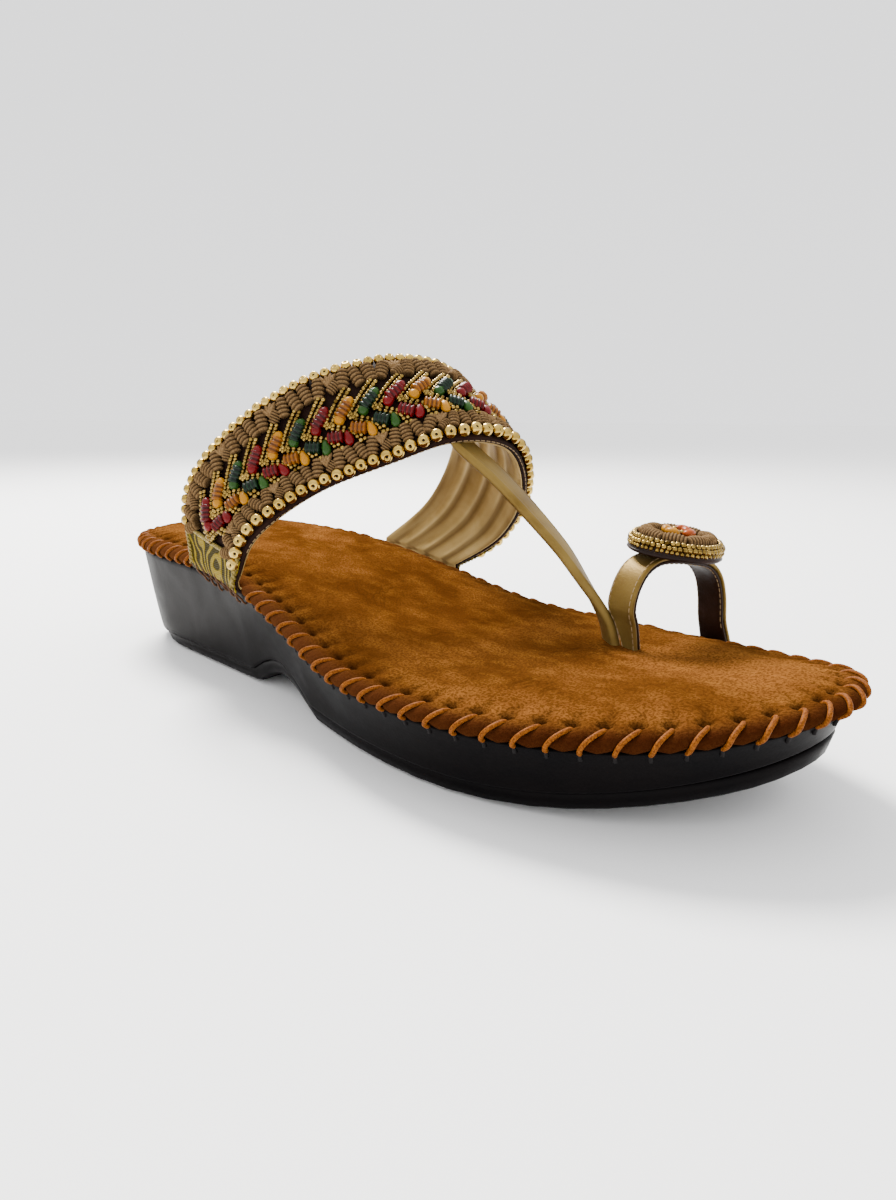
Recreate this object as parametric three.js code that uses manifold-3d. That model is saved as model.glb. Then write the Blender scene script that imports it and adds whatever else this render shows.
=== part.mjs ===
// A right slip-on sandal in millimetres: a moulded wedge sole, a suede footbed with a rolled edge,
// a beaded instep band that runs into a thong strap, and a leather toe ring with a medallion.
// +X points to the toe, +Y to the inner side of the foot and +Z up, with the floor at Z = 0.
import * as THREE from 'three';
import { mergeVertices } from 'three/addons/utils/BufferGeometryUtils.js';
import Module from 'manifold-3d';

const wasm = await Module();
wasm.setup();

// Sole. Heights of the joint are from the floor to the line where suede meets the dark sole.
const SOLE_LENGTH = 243.8;
const BALL_WIDTH = 91.4;
const HEEL_WIDTH = 64.5;
const HEEL_JOINT = 32.4;
const BALL_JOINT = 16.6;
const TOE_SPRING = 15.2;
const SPRING_START = 0.717;
const ARCH_OUTER = 7;
const ARCH_INNER = 9.5;
const ARCH_REAR = 0.35;
const ARCH_FRONT = 0.502;
const OUTSOLE = 5;
const LIP = 0.9;
const WALL_TAPER = 6.4;
const FLOOR_EDGE = 1.8;
const FLOOR_BEVEL = 1;
const GAP = 0.3;

// Tread grooves under the heel and the forefoot
const GROOVE_WIDTH = 2.4;
const GROOVE_DEPTH = 1.2;
const GROOVE_PITCH = 9;
const GROOVE_MARGIN = 0.72;

// Footbed
const ROLL = 8.4;
const ROLL_BULGE = 1.2;
const ROLL_INSET = 5;
const HEEL_CUP = 1.6;
const FOOTBED_DIP = 0.9;
const FOOTBED_UNDERCUT = 0.8;
const FOOTBED_FOOT = 3;

// Instep band
const BAND_WALL = 2.5;
const BAND_CROWN = 1;
const INSTEP_FRONT = 54;
const INSTEP_REAR = 68.5;
const FOOT_BLEND = 0.125;
const TUCK_DEPTH = 7;
const TUCK_WALL = 1.4;
const TUCK_ROOM = 0.5;

// Trim on the band
const BEAD = 3.2;
const THREAD_HEIGHT = 2.2;
const BEADWORK_HEIGHT = 2.6;
const TAB_HEIGHT = 0.9;
const TAB_REACH = 0.075;
const TAB_CLEAR = 0.01;

// Thong strap
const THONG_WIDTH = 7.6;
const THONG_WALL = 2.8;
const THONG_TWIST = 60;
const THONG_LAP = 0.42;
const THONG_SINK = 0.5;
const THONG_SLIM = 0.12;
const THONG_ACROSS = 0.13;

// Slot in the footbed that the thong and the ring's near leg go down into. ALONG is a share of the
// sole's length, ACROSS of half the ball's width and DEPTH of the strap's run.
const SLOT_ALONG = 0.755;
const SLOT_ACROSS = 0.256;
const SLOT_DEPTH = 0.1;

// Toe ring, measured inside the leather loop
const RING_SPAN = 28;
const RING_RISE = 21;
const RING_WIDTH = 9;
const RING_WALL = 2;
const RING_TURN = 20.4;
const RING_FOOT = 4.5;
const RING_SINK = 1;
const RING_ALONG = 0.795;
const RING_ACROSS = 0.22;

// Medallion on the ring. PLACE is a share of the ring's run from the slot.
const MEDAL_PLACE = 0.66;
const MEDAL_LENGTH = 26;
const MEDAL_WIDTH = 24.4;
const MEDAL_BASE = 2.1;
const MEDAL_RIM = 2.5;
const MEDAL_BAND = 5;
const MEDAL_THREAD = 3.6;
const MEDAL_CENTRE = 3.4;
const MEDAL_TILT = 8;
const MEDAL_SEAT = 0.2;
const MEDAL_LOBES = 8;

// Outline of the joint line from heel to toe. along is a share of the sole's length, lateral and
// medial are shares of its width there, heel or ball.
const OUTLINE = [
  { along: 0, lateral: 0.04, medial: -0.04 },
  { along: 0.015, lateral: 0.2, medial: 0.2 },
  { along: 0.05, lateral: 0.338, medial: 0.358 },
  { along: 0.12, lateral: 0.449, medial: 0.473 },
  { along: 0.22, lateral: 0.486, medial: 0.522 },
  { along: 0.35, lateral: 0.516, medial: 0.532 },
  { along: 0.48, lateral: 0.518, medial: 0.468 },
  { along: 0.6, lateral: 0.525, medial: 0.447 },
  { along: 0.7, lateral: 0.535, medial: 0.465 },
  { along: 0.79, lateral: 0.496, medial: 0.445 },
  { along: 0.87, lateral: 0.42, medial: 0.39 },
  { along: 0.935, lateral: 0.303, medial: 0.308 },
  { along: 0.98, lateral: 0.162, medial: 0.212 },
  { along: 1, lateral: -0.03, medial: 0.03 },
];

// Height of the joint line. heel is a share of the heel's rise over the ball, toe of the toe spring.
const JOINT = [
  { along: 0, heel: 0.99, toe: 0 },
  { along: 0.15, heel: 1.07, toe: 0 },
  { along: 0.3, heel: 0.98, toe: 0 },
  { along: 0.45, heel: 0.599, toe: 0 },
  { along: 0.6, heel: 0.104, toe: 0 },
  { along: 0.75, heel: 0, toe: 0.003 },
  { along: 0.9, heel: 0, toe: 0.168 },
  { along: 1, heel: 0, toe: 0.411 },
];

// Lower edges of the instep band from the lateral to the medial side. along is a share of the
// sole's length, across of half the ball's width, up of the instep's height over the joint line.
const BAND_FRONT = [
  { along: 0.387 },
  { along: 0.411, across: -0.735, up: 0.362 },
  { along: 0.452, across: -0.44, up: 0.615 },
  { along: 0.514, across: -0.185, up: 0.825 },
  { along: 0.573, across: 0.06, up: 0.99 },
  { along: 0.593, across: 0.44, up: 0.955 },
  { along: 0.571, across: 0.757, up: 0.69 },
  { along: 0.521, across: 0.91, up: 0.372 },
  { along: 0.454 },
];
const BAND_REAR = [
  { along: 0.2785 },
  { along: 0.274, across: -0.69, up: 0.378 },
  { along: 0.333, across: -0.556, up: 0.665 },
  { along: 0.404, across: -0.302, up: 0.89 },
  { along: 0.465, across: 0.09, up: 1 },
  { along: 0.478, across: 0.53, up: 0.955 },
  { along: 0.448, across: 0.81, up: 0.68 },
  { along: 0.392, across: 0.9, up: 0.355 },
  { along: 0.32 },
];

// How the band's lower ends turn in between footbed and sole. out is measured from the joint
// line's outline and up from the joint line, both in millimetres.
const TUCK = [
  { at: 0, out: ROLL_BULGE + TUCK_ROOM, up: ROLL / 2 },
  { at: 0.3, out: ROLL_BULGE + TUCK_ROOM * 0.2, up: TUCK_WALL + TUCK_ROOM * 2.2 },
  { at: 0.45, out: ROLL_BULGE * 0.17, up: TUCK_WALL + TUCK_ROOM },
  { at: 1, out: -TUCK_DEPTH, up: TUCK_WALL + TUCK_ROOM },
];

// Strips on the band, as shares of its width from the front edge to the rear edge
const STRIPS = [
  { name: 'bead_edge_front', from: 0.022, to: 0.113, rise: BEAD, round: true, colour: 0xc9ad6a },
  { name: 'thread_border_front', from: 0.125, to: 0.295, rise: THREAD_HEIGHT, colour: 0x8d7550 },
  { name: 'beadwork_panel', from: 0.307, to: 0.723, rise: BEADWORK_HEIGHT, colour: 0x5a3322 },
  { name: 'thread_border_rear', from: 0.735, to: 0.893, rise: THREAD_HEIGHT, colour: 0x8d7550 },
  { name: 'bead_edge_rear', from: 0.905, to: 0.993, rise: BEAD, round: true, colour: 0xc9ad6a },
];

// Centre line of the thong strap's upper face. reach and drop are shares of its run from the
// band's edge to the slot, twist and slim are shares of the whole turn and narrowing.
const THONG = [
  { at: 0, reach: 0, drop: 0, twist: 0, slim: 0 },
  { at: 0.16, reach: 0.245, drop: 0.158, twist: 0.02, slim: 0 },
  { at: 0.36, reach: 0.48, drop: 0.34, twist: 0.1, slim: 0 },
  { at: 0.54, reach: 0.68, drop: 0.51, twist: 0.25, slim: 0.1 },
  { at: 0.72, reach: 0.845, drop: 0.69, twist: 0.5, slim: 0.4 },
  { at: 0.82, reach: 0.915, drop: 0.8, twist: 0.7, slim: 0.7 },
  { at: 0.92, reach: 0.97, drop: 0.93, twist: 0.9, slim: 0.9 },
  { at: 1, reach: 1, drop: 1.13, twist: 1, slim: 1 },
];

// Inside of the toe ring from the slot over the toe, as shares of its span and rise. slim is a
// share of the narrowing from the leather's full width to its width in the slot.
const RING = [
  { at: 0, span: 0.02, rise: -0.32, slim: 1 },
  { at: 0.1, span: 0, rise: 0, slim: 0.9 },
  { at: 0.2, span: -0.035, rise: 0.31, slim: 0.3 },
  { at: 0.28, span: -0.07, rise: 0.48, slim: 0 },
  { at: 0.37, span: -0.035, rise: 0.7, slim: 0 },
  { at: 0.46, span: 0.05, rise: 0.88, slim: 0 },
  { at: 0.53, span: 0.16, rise: 0.97, slim: 0 },
  { at: 0.6, span: 0.3, rise: 0.99, slim: 0 },
  { at: 0.7, span: 0.6, rise: 0.94, slim: 0 },
  { at: 0.77, span: 0.8, rise: 0.865, slim: 0 },
  { at: 0.84, span: 0.92, rise: 0.7, slim: 0 },
  { at: 0.91, span: 0.98, rise: 0.46, slim: 0 },
  { at: 1, span: 1.01, rise: 0.17, slim: 0 },
];

const { lerp, clamp, smoothstep, degToRad } = THREE.MathUtils;
const spread = (from, to, steps) => Array.from({ length: steps + 1 }, (_, i) => lerp(from, to, i / steps));

// Smooth curve through one column of a table, read at any place along it and straight past its ends.
function curve(rows, column, place = 'at') {
  const at = rows.map((row) => row[place]);
  const value = rows.map((row) => row[column]);
  const last = rows.length - 1;
  const slope = value.map((_, i) => {
    const before = Math.max(i - 1, 0);
    const after = Math.min(i + 1, last);
    return (value[after] - value[before]) / (at[after] - at[before]);
  });
  return (t) => {
    if (t < at[0]) return value[0] + slope[0] * (t - at[0]);
    if (t > at[last]) return value[last] + slope[last] * (t - at[last]);
    let i = 0;
    while (i < last - 1 && t > at[i + 1]) i += 1;
    const span = at[i + 1] - at[i];
    const s = (t - at[i]) / span;
    const rest = 1 - s;
    return value[i] * rest * rest * (1 + 2 * s) + value[i + 1] * s * s * (3 - 2 * s)
      + span * s * rest * (slope[i] * rest - slope[i + 1] * s);
  };
}

// Sole outline. turn runs from 0 at the heel to PI at the toe, so that both ends come out round.
const turnAt = (share) => Math.acos(1 - 2 * clamp(share, 0, 1));
const outlineRows = OUTLINE.map((row) => {
  const width = lerp(HEEL_WIDTH, BALL_WIDTH, smoothstep(row.along, 0.3, 0.65));
  return { at: turnAt(row.along), lateral: -row.lateral * width, medial: row.medial * width };
});
const lateralEdge = curve(outlineRows, 'lateral');
const medialEdge = curve(outlineRows, 'medial');
const edgeAt = (x, side) => (side < 0 ? lateralEdge : medialEdge)(turnAt(x / SOLE_LENGTH));

// Point of the outline at angle a, which goes round the sole once from the heel by the lateral
// side, moved in by inset.
function outlinePoint(a, inset) {
  const raw = (angle) => {
    const turn = angle <= Math.PI ? angle : 2 * Math.PI - angle;
    const x = (SOLE_LENGTH * (1 - Math.cos(turn))) / 2;
    return new THREE.Vector2(x, (angle <= Math.PI ? lateralEdge : medialEdge)(turn));
  };
  const wrap = (angle) => (angle + 2 * Math.PI) % (2 * Math.PI);
  const small = 0.02;
  const tangent = raw(wrap(a + small)).sub(raw(wrap(a - small))).normalize();
  return raw(wrap(a)).add(new THREE.Vector2(-tangent.y, tangent.x).multiplyScalar(inset));
}

const jointHeel = curve(JOINT, 'heel', 'along');
const jointToe = curve(JOINT, 'toe', 'along');

function jointAt(x) {
  const share = clamp(x / SOLE_LENGTH, 0, 1);
  return BALL_JOINT + (HEEL_JOINT - BALL_JOINT) * jointHeel(share) + TOE_SPRING * jointToe(share);
}

// Underside of the sole: flat heel and ball, a hollow arch and a rising toe.
function underAt(x, y) {
  const share = x / SOLE_LENGTH;
  const spring = Math.max(0, (share - SPRING_START) / (1 - SPRING_START));
  const arch = clamp((share - ARCH_REAR) / (ARCH_FRONT - ARCH_REAR), 0, 1);
  const across = clamp((y - edgeAt(x, -1)) / (edgeAt(x, 1) - edgeAt(x, -1)), 0, 1);
  return TOE_SPRING * spring * spring + lerp(ARCH_OUTER, ARCH_INNER, across) * Math.sin(Math.PI * arch);
}

// Angles of the sections, closer together over the arch, with one on each of its ends.
const archTurns = spread(ARCH_REAR, ARCH_FRONT, 6).map(turnAt);
const evenTurns = spread(0, Math.PI, 34).filter((t) => archTurns.every((arch) => Math.abs(arch - t) > 0.05));
const turns = [...evenTurns, ...archTurns].sort((a, b) => a - b);
const SECTIONS = turns.length - 1;
const around = [...turns, ...turns.slice(1, -1).reverse().map((t) => 2 * Math.PI - t)];

// Closed solid from rings around the sole, bottom ring first. Each ring has an inset and a height
// for every point. The lids are strips across the sole whose inner points follow lid heights.
function soleSolid(rings, bottomLid, topLid, columns) {
  const positions = [];
  const faces = [];
  const count = around.length;
  rings.forEach(({ inset, height }) => {
    around.forEach((angle) => {
      const p = outlinePoint(angle, inset);
      positions.push(p.x, p.y, height(p.x, p.y));
    });
  });
  for (let ring = 0; ring < rings.length - 1; ring += 1) {
    for (let i = 0; i < count; i += 1) {
      const a = ring * count + i;
      const b = ring * count + ((i + 1) % count);
      faces.push(a, b, b + count, a, b + count, a + count);
    }
  }
  const lid = (start, heightAt, up) => {
    const rows = [];
    for (let k = 1; k < SECTIONS; k += 1) {
      const left = start + k;
      const right = start + count - k;
      const row = [left];
      for (let j = 1; j < columns.length - 1; j += 1) {
        const share = columns[j];
        const x = lerp(positions[3 * left], positions[3 * right], share);
        const y = lerp(positions[3 * left + 1], positions[3 * right + 1], share);
        row.push(positions.length / 3);
        positions.push(x, y, heightAt(x, y, share));
      }
      row.push(right);
      rows.push(row);
    }
    const add = (a, b, c) => (up ? faces.push(a, b, c) : faces.push(a, c, b));
    for (let j = 0; j < columns.length - 1; j += 1) {
      add(start, rows[0][j], rows[0][j + 1]);
      add(start + SECTIONS, rows[SECTIONS - 2][j + 1], rows[SECTIONS - 2][j]);
      for (let k = 0; k < SECTIONS - 2; k += 1) {
        add(rows[k][j], rows[k + 1][j], rows[k + 1][j + 1]);
        add(rows[k][j], rows[k + 1][j + 1], rows[k][j + 1]);
      }
    }
  };
  lid(0, bottomLid, false);
  lid((rings.length - 1) * count, topLid, true);
  return geometryOf(positions, faces);
}

function geometryOf(positions, faces) {
  const geometry = new THREE.BufferGeometry();
  geometry.setAttribute('position', new THREE.Float32BufferAttribute(positions, 3));
  geometry.setIndex(Array.from(faces));
  return geometry;
}

function solidOf(geometry) {
  return new wasm.Manifold(new wasm.Mesh({
    numProp: 3,
    vertProperties: new Float32Array(geometry.attributes.position.array),
    triVerts: new Uint32Array(geometry.index.array),
  }));
}

function geometryOfSolid(solid) {
  const mesh = solid.getMesh();
  return geometryOf(mesh.vertProperties, mesh.triVerts);
}

// Outward normal of a strap surface, from small steps along it and across it.
function normalOf(surface, u, v) {
  const small = 0.01;
  const along = surface(u + small, v).sub(surface(u - small, v));
  const across = surface(u, v + small).sub(surface(u, v - small));
  return along.cross(across).normalize();
}

// Closed strap between two offsets of a surface, with points at stations along and columns across.
function strapSolid(surface, stations, columns, low, high) {
  const positions = [];
  const faces = [];
  const lay = (offset) => {
    for (const u of stations) {
      for (const v of columns) {
        const p = surface(u, v).addScaledVector(normalOf(surface, u, v), offset(u, v));
        positions.push(p.x, p.y, p.z);
      }
    }
  };
  lay(high);
  lay(low);
  const wide = columns.length;
  const under = stations.length * wide;
  const at = (i, j) => i * wide + j;
  const quad = (a, b, c, d) => faces.push(a, b, c, a, c, d);
  for (let i = 0; i < stations.length - 1; i += 1) {
    for (let j = 0; j < wide - 1; j += 1) {
      quad(at(i, j), at(i + 1, j), at(i + 1, j + 1), at(i, j + 1));
      quad(under + at(i, j), under + at(i, j + 1), under + at(i + 1, j + 1), under + at(i + 1, j));
    }
    quad(at(i, 0), under + at(i, 0), under + at(i + 1, 0), at(i + 1, 0));
    quad(at(i, wide - 1), at(i + 1, wide - 1), under + at(i + 1, wide - 1), under + at(i, wide - 1));
  }
  const last = stations.length - 1;
  for (let j = 0; j < wide - 1; j += 1) {
    quad(at(0, j), at(0, j + 1), under + at(0, j + 1), under + at(0, j));
    quad(at(last, j), under + at(last, j), under + at(last, j + 1), at(last, j + 1));
  }
  return geometryOf(positions, faces);
}

// Sole unit
const outsoleTop = (x, y) => underAt(x, y) + OUTSOLE;
const flatColumns = [0, 0.25, 0.5, 0.75, 1];

function outsole() {
  const body = soleSolid([
    { inset: WALL_TAPER + FLOOR_EDGE, height: underAt },
    { inset: WALL_TAPER, height: (x, y) => underAt(x, y) + FLOOR_BEVEL },
    { inset: WALL_TAPER - LIP, height: (x, y) => underAt(x, y) + OUTSOLE * 0.84 },
    { inset: WALL_TAPER - LIP / 3, height: outsoleTop },
  ], underAt, outsoleTop, flatColumns);
  return geometryOfSolid(solidOf(body).subtract(grooves()));
}

// Shallow grooves across the tread, which stop short of its edge.
function grooves() {
  const cuts = [];
  const zones = [[0.07, ARCH_REAR - 0.03], [ARCH_FRONT + 0.03, SPRING_START]];
  for (const [from, to] of zones) {
    const count = Math.floor(((to - from) * SOLE_LENGTH) / GROOVE_PITCH) + 1;
    for (let i = 0; i < count; i += 1) {
      const x = from * SOLE_LENGTH + i * GROOVE_PITCH;
      const reach = edgeAt(x, 1) - edgeAt(x, -1);
      const box = new THREE.BoxGeometry(GROOVE_WIDTH, reach * GROOVE_MARGIN, 2 * GROOVE_DEPTH);
      box.translate(x, (edgeAt(x, 1) + edgeAt(x, -1)) / 2, 0);
      cuts.push(solidOf(welded(box)));
    }
  }
  return wasm.Manifold.union(cuts);
}

// The same surface with each corner held once and no empty faces, so that it is a closed body.
function welded(geometry) {
  const plain = geometry.clone();
  plain.deleteAttribute('normal');
  plain.deleteAttribute('uv');
  const merged = mergeVertices(plain, 1e-4);
  const index = merged.index.array;
  const faces = [];
  for (let i = 0; i < index.length; i += 3) {
    const [a, b, c] = index.slice(i, i + 3);
    if (a !== b && b !== c && c !== a) faces.push(a, b, c);
  }
  return geometryOf(merged.attributes.position.array, faces);
}

function midsole() {
  const between = (share) => (x, y) => lerp(outsoleTop(x, y) + GAP, jointAt(x), share);
  return soleSolid([
    { inset: WALL_TAPER, height: between(0) },
    { inset: WALL_TAPER * 0.8, height: between(0.3) },
    { inset: WALL_TAPER * 0.45, height: between(0.65) },
    { inset: WALL_TAPER * 0.12, height: between(0.94) },
    { inset: WALL_TAPER * 0.25, height: between(1) },
  ], between(0), between(1), flatColumns);
}

// Footbed with its rolled edge, less the room that the straps take
function footbed(straps) {
  const above = (rise) => (x) => jointAt(x) + rise;
  const cup = (x, y, share) => {
    const heel = 1 - smoothstep(x / SOLE_LENGTH, 0.286, 0.594);
    const dip = FOOTBED_DIP + HEEL_CUP * heel * Math.sin(Math.PI * share);
    const fromEdge = Math.min(share, 1 - share);
    return jointAt(x) + ROLL - dip * smoothstep(fromEdge, 0, 0.12);
  };
  const columns = [0, 0.08, 0.2, 0.35, 0.5, 0.65, 0.8, 0.92, 1];
  const body = soleSolid([
    { inset: FOOTBED_FOOT, height: above(GAP) },
    { inset: FOOTBED_UNDERCUT, height: above(GAP) },
    { inset: -ROLL_BULGE * 0.4, height: above(ROLL * 0.2) },
    { inset: -ROLL_BULGE, height: above(ROLL * 0.5) },
    { inset: -ROLL_BULGE * 0.3, height: above(ROLL * 0.8) },
    { inset: ROLL_INSET * 0.45, height: above(ROLL * 0.97) },
    { inset: ROLL_INSET, height: above(ROLL) },
  ], above(GAP), cup, columns);
  return geometryOfSolid(straps.reduce((rest, strap) => rest.subtract(strap), solidOf(body)));
}

// Instep band
function bandEdge(rows, instep) {
  const points = rows.map((row, i) => {
    const at = i / (rows.length - 1);
    const x = row.along * SOLE_LENGTH;
    if (row.up !== undefined) {
      return { at, x, y: (row.across * BALL_WIDTH) / 2, z: jointAt(x) + row.up * instep };
    }
    const side = i === 0 ? -1 : 1;
    return { at, x, y: edgeAt(x, side) + side * TUCK[0].out, z: jointAt(x) + TUCK[0].up };
  });
  const [x, y, z] = ['x', 'y', 'z'].map((axis) => curve(points, axis));
  return (u) => new THREE.Vector3(x(u), y(u), z(u));
}

const bandFront = bandEdge(BAND_FRONT, INSTEP_FRONT);
const bandRear = bandEdge(BAND_REAR, INSTEP_REAR);
const bandWidth = bandFront(0.5).distanceTo(bandRear(0.5));
const tuckOut = curve(TUCK, 'out');
const tuckUp = curve(TUCK, 'up');

// Where a strap turns in under the footbed, t from 0 on the roll to 1 at its hidden end.
function tucked(x, side, t) {
  return new THREE.Vector3(x, edgeAt(x, side) + side * tuckOut(t), jointAt(x) + tuckUp(t));
}

const pastEnd = (u) => Math.max(-u, u - 1, 0);

// Lining side of the band. u runs from the lateral to the medial end, past 0 and 1 into the tucks,
// and v from the front edge to the rear edge.
function bandLining(u, v) {
  const nearest = u < 0.5 ? 0 : 1;
  const side = u < 0.5 ? -1 : 1;
  const foot = bandFront(nearest).lerp(bandRear(nearest), v);
  if (pastEnd(u) > 0) return tucked(foot.x, side, pastEnd(u));
  const fade = Math.max(0, 1 - Math.abs(u - nearest) / FOOT_BLEND) ** 2;
  const shift = tucked(foot.x, side, 0).sub(foot);
  return bandFront(u).lerp(bandRear(u), v).addScaledVector(shift, fade);
}

const bandWall = (u) => lerp(BAND_WALL, TUCK_WALL, clamp(pastEnd(u) * 2.4, 0, 1));
const crownAt = (u, v) => BAND_CROWN * 4 * v * (1 - v) * clamp(Math.min(u, 1 - u) / FOOT_BLEND, 0, 1);
const tuckStations = [0.12, 0.24, 0.34, 0.45, 0.6, 1];
const bandStations = [
  ...tuckStations.map((t) => -t).reverse(),
  ...spread(0, 1, 32),
  ...tuckStations.map((t) => 1 + t),
];

function bandSolid(ease) {
  const stations = [...bandStations];
  stations[0] -= ease / TUCK_DEPTH;
  stations[stations.length - 1] += ease / TUCK_DEPTH;
  const side = ease / bandWidth;
  const low = (u, v) => crownAt(u, v) - ease;
  const high = (u, v) => crownAt(u, v) + bandWall(u) + ease;
  return solidOf(strapSolid(bandLining, stations, spread(-side, 1 + side, 5), low, high));
}

// Thong strap, from its lap under the band to the slot
const slot = new THREE.Vector3(SOLE_LENGTH * SLOT_ALONG, (BALL_WIDTH / 2) * SLOT_ACROSS, 0);
slot.z = jointAt(slot.x) + ROLL;
const curves = (rows, names) => Object.fromEntries(names.map((name) => [name, curve(rows, name)]));
const thongColumn = curves(THONG, ['reach', 'drop', 'twist', 'slim']);

// Share u along the band where a point at the given distance across the foot lies.
function bandShareAt(y, v) {
  let low = 0.3;
  let high = 0.8;
  for (let i = 0; i < 30; i += 1) {
    const middle = (low + high) / 2;
    if (bandLining(middle, v).y < y) low = middle;
    else high = middle;
  }
  return low;
}

const thongY = (BALL_WIDTH / 2) * THONG_ACROSS;
const thongStart = bandLining(bandShareAt(thongY, 0), 0);

// Centre of the strap's upper face. u is negative where it laps under the band.
function thongCentre(u) {
  if (u < 0) {
    const v = -u;
    const share = bandShareAt(thongY, v);
    const under = bandLining(share, v);
    return under.addScaledVector(normalOf(bandLining, share, v), crownAt(share, v) + THONG_SINK);
  }
  const reach = thongColumn.reach(u);
  return new THREE.Vector3(
    lerp(thongStart.x, slot.x, reach),
    lerp(thongStart.y, slot.y, reach),
    lerp(thongStart.z, slot.z, thongColumn.drop(u)),
  );
}

function thongSurface(u, v) {
  const small = 0.02;
  const tangent = thongCentre(u + small).sub(thongCentre(u - small)).normalize();
  const across = new THREE.Vector3(0, 1, 0).addScaledVector(tangent, -tangent.y).normalize();
  const share = clamp(u, 0, 1);
  across.applyAxisAngle(tangent, -degToRad(THONG_TWIST) * thongColumn.twist(share));
  const width = THONG_WIDTH * (1 - THONG_SLIM * thongColumn.slim(share));
  return thongCentre(u).addScaledVector(across, (v - 0.5) * width);
}

function thongSolid(ease) {
  const side = ease / THONG_WIDTH;
  const stations = [...spread(-THONG_LAP, -0.06, 4), ...spread(0, 0.72, 12), ...spread(0.76, 1, 6)];
  if (ease > 0) stations.push(1 + SLOT_DEPTH);
  const low = () => -THONG_WALL - ease;
  const high = () => ease;
  return solidOf(strapSolid(thongSurface, stations, [-side, 0.12, 0.5, 0.88, 1 + side], low, high));
}

// Toe ring
const ringAlong = new THREE.Vector3(Math.sin(degToRad(RING_TURN)), Math.cos(degToRad(RING_TURN)), 0);
const ringForward = new THREE.Vector3(ringAlong.y, -ringAlong.x, 0);
const ringFoot = new THREE.Vector3(SOLE_LENGTH * RING_ALONG, (BALL_WIDTH / 2) * RING_ACROSS, 0);
ringFoot.z = jointAt(ringFoot.x) + ROLL - RING_SINK;
const ringColumn = curves(RING, ['span', 'rise', 'slim']);

// Lining side of the ring. v runs from its front edge to its rear edge, and u past 1 into the tuck.
function ringLining(u, v) {
  const place = Math.min(u, 1);
  const back = -v * lerp(RING_WIDTH, RING_FOOT, ringColumn.slim(place));
  const base = ringFoot.clone().addScaledVector(ringForward, back);
  const point = base.clone().addScaledVector(ringAlong, ringColumn.span(place) * RING_SPAN);
  point.z = ringFoot.z + ringColumn.rise(place) * RING_RISE;
  if (u <= 1) return point;
  let reach = RING_SPAN;
  for (let i = 0; i < 12; i += 1) {
    reach = (edgeAt(base.x + ringAlong.x * reach, 1) - base.y) / ringAlong.y;
  }
  const t = u - 1;
  const end = base.clone().addScaledVector(ringAlong, reach + tuckOut(t) / ringAlong.y);
  end.z = jointAt(end.x) + tuckUp(t);
  return end;
}

const ringWall = (u) => lerp(RING_WALL, TUCK_WALL, clamp(pastEnd(u) * 3, 0, 1));

function ringSolid(ease) {
  const stations = [...spread(0, 1, 26), 1.12, 1.24, 1.34, 1.45, 1.6, 2 + ease / TUCK_DEPTH];
  if (ease > 0) stations.unshift(-SLOT_DEPTH);
  const side = ease / RING_FOOT;
  const low = () => -ease;
  const high = (u) => ringWall(u) + ease;
  return solidOf(strapSolid(ringLining, stations, [-side, 0.5, 1 + side], low, high));
}

// Trim strips on the outer face of the band
function strip({ from, to, rise, round }) {
  const shares = round ? [0, 0.16, 0.5, 0.84, 1] : [0, 0.08, 0.5, 0.92, 1];
  const columns = shares.map((share) => lerp(from, to, share));
  const base = (u, v) => crownAt(u, v) + BAND_WALL + GAP;
  const domed = (share) => Math.sqrt(Math.max(0.06, 1 - (2 * share - 1) ** 2));
  const flattened = (share) => lerp(0.55, 1, Math.min(1, 12 * share * (1 - share)));
  const profile = round ? domed : flattened;
  const high = (u, v) => base(u, v) + rise * profile((v - from) / (to - from));
  const stations = spread(TAB_REACH + TAB_CLEAR, 1 - TAB_REACH - TAB_CLEAR, 26);
  return strapSolid(bandLining, stations, columns, base, high);
}

// Brocade tab that covers one end of the band down to the joint line
function tab(side) {
  const lateral = [...bandStations.filter((u) => u > -0.25 && u < TAB_REACH - TAB_CLEAR), TAB_REACH];
  const stations = side < 0 ? lateral : lateral.map((u) => 1 - u).reverse();
  const low = (u, v) => crownAt(u, v) + bandWall(u) + GAP;
  const high = (u, v) => low(u, v) + TAB_HEIGHT;
  return strapSolid(bandLining, stations, spread(0, 1, 5), low, high);
}

// Medallion. Its pieces are turned about one axis and stacked on the ring's top.
const medallion = new THREE.Group();
medallion.position.copy(ringLining(MEDAL_PLACE, 0.5));
medallion.position.z += RING_WALL + GAP + MEDAL_SEAT;
medallion.setRotationFromAxisAngle(ringForward, -degToRad(MEDAL_TILT));
medallion.rotateZ(degToRad(90 - RING_TURN));

function lathe(profile, segments) {
  const geometry = new THREE.LatheGeometry(profile.map(([r, z]) => new THREE.Vector2(r, z)), segments);
  geometry.rotateX(Math.PI / 2);
  geometry.scale(1, MEDAL_WIDTH / MEDAL_LENGTH, 1);
  return welded(geometry);
}

const medalRadius = MEDAL_LENGTH / 2;
const rimInner = medalRadius - MEDAL_RIM;
const threadInner = rimInner - MEDAL_BAND;

function medalBase() {
  const r = medalRadius;
  const shares = [[0, 0], [0.88, 0], [0.955, 0.4], [0.94, 1], [0, 1]];
  return lathe(shares.map(([out, up]) => [r * out, MEDAL_BASE * up]), 32);
}

function medalRim() {
  const mid = medalRadius - MEDAL_RIM / 2;
  const half = MEDAL_RIM / 2;
  const profile = spread(0, 2 * Math.PI, 8).map((a) => [
    mid + half * Math.cos(a),
    MEDAL_BASE + GAP + half + half * Math.sin(a),
  ]);
  return lathe(profile, 32);
}

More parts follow.
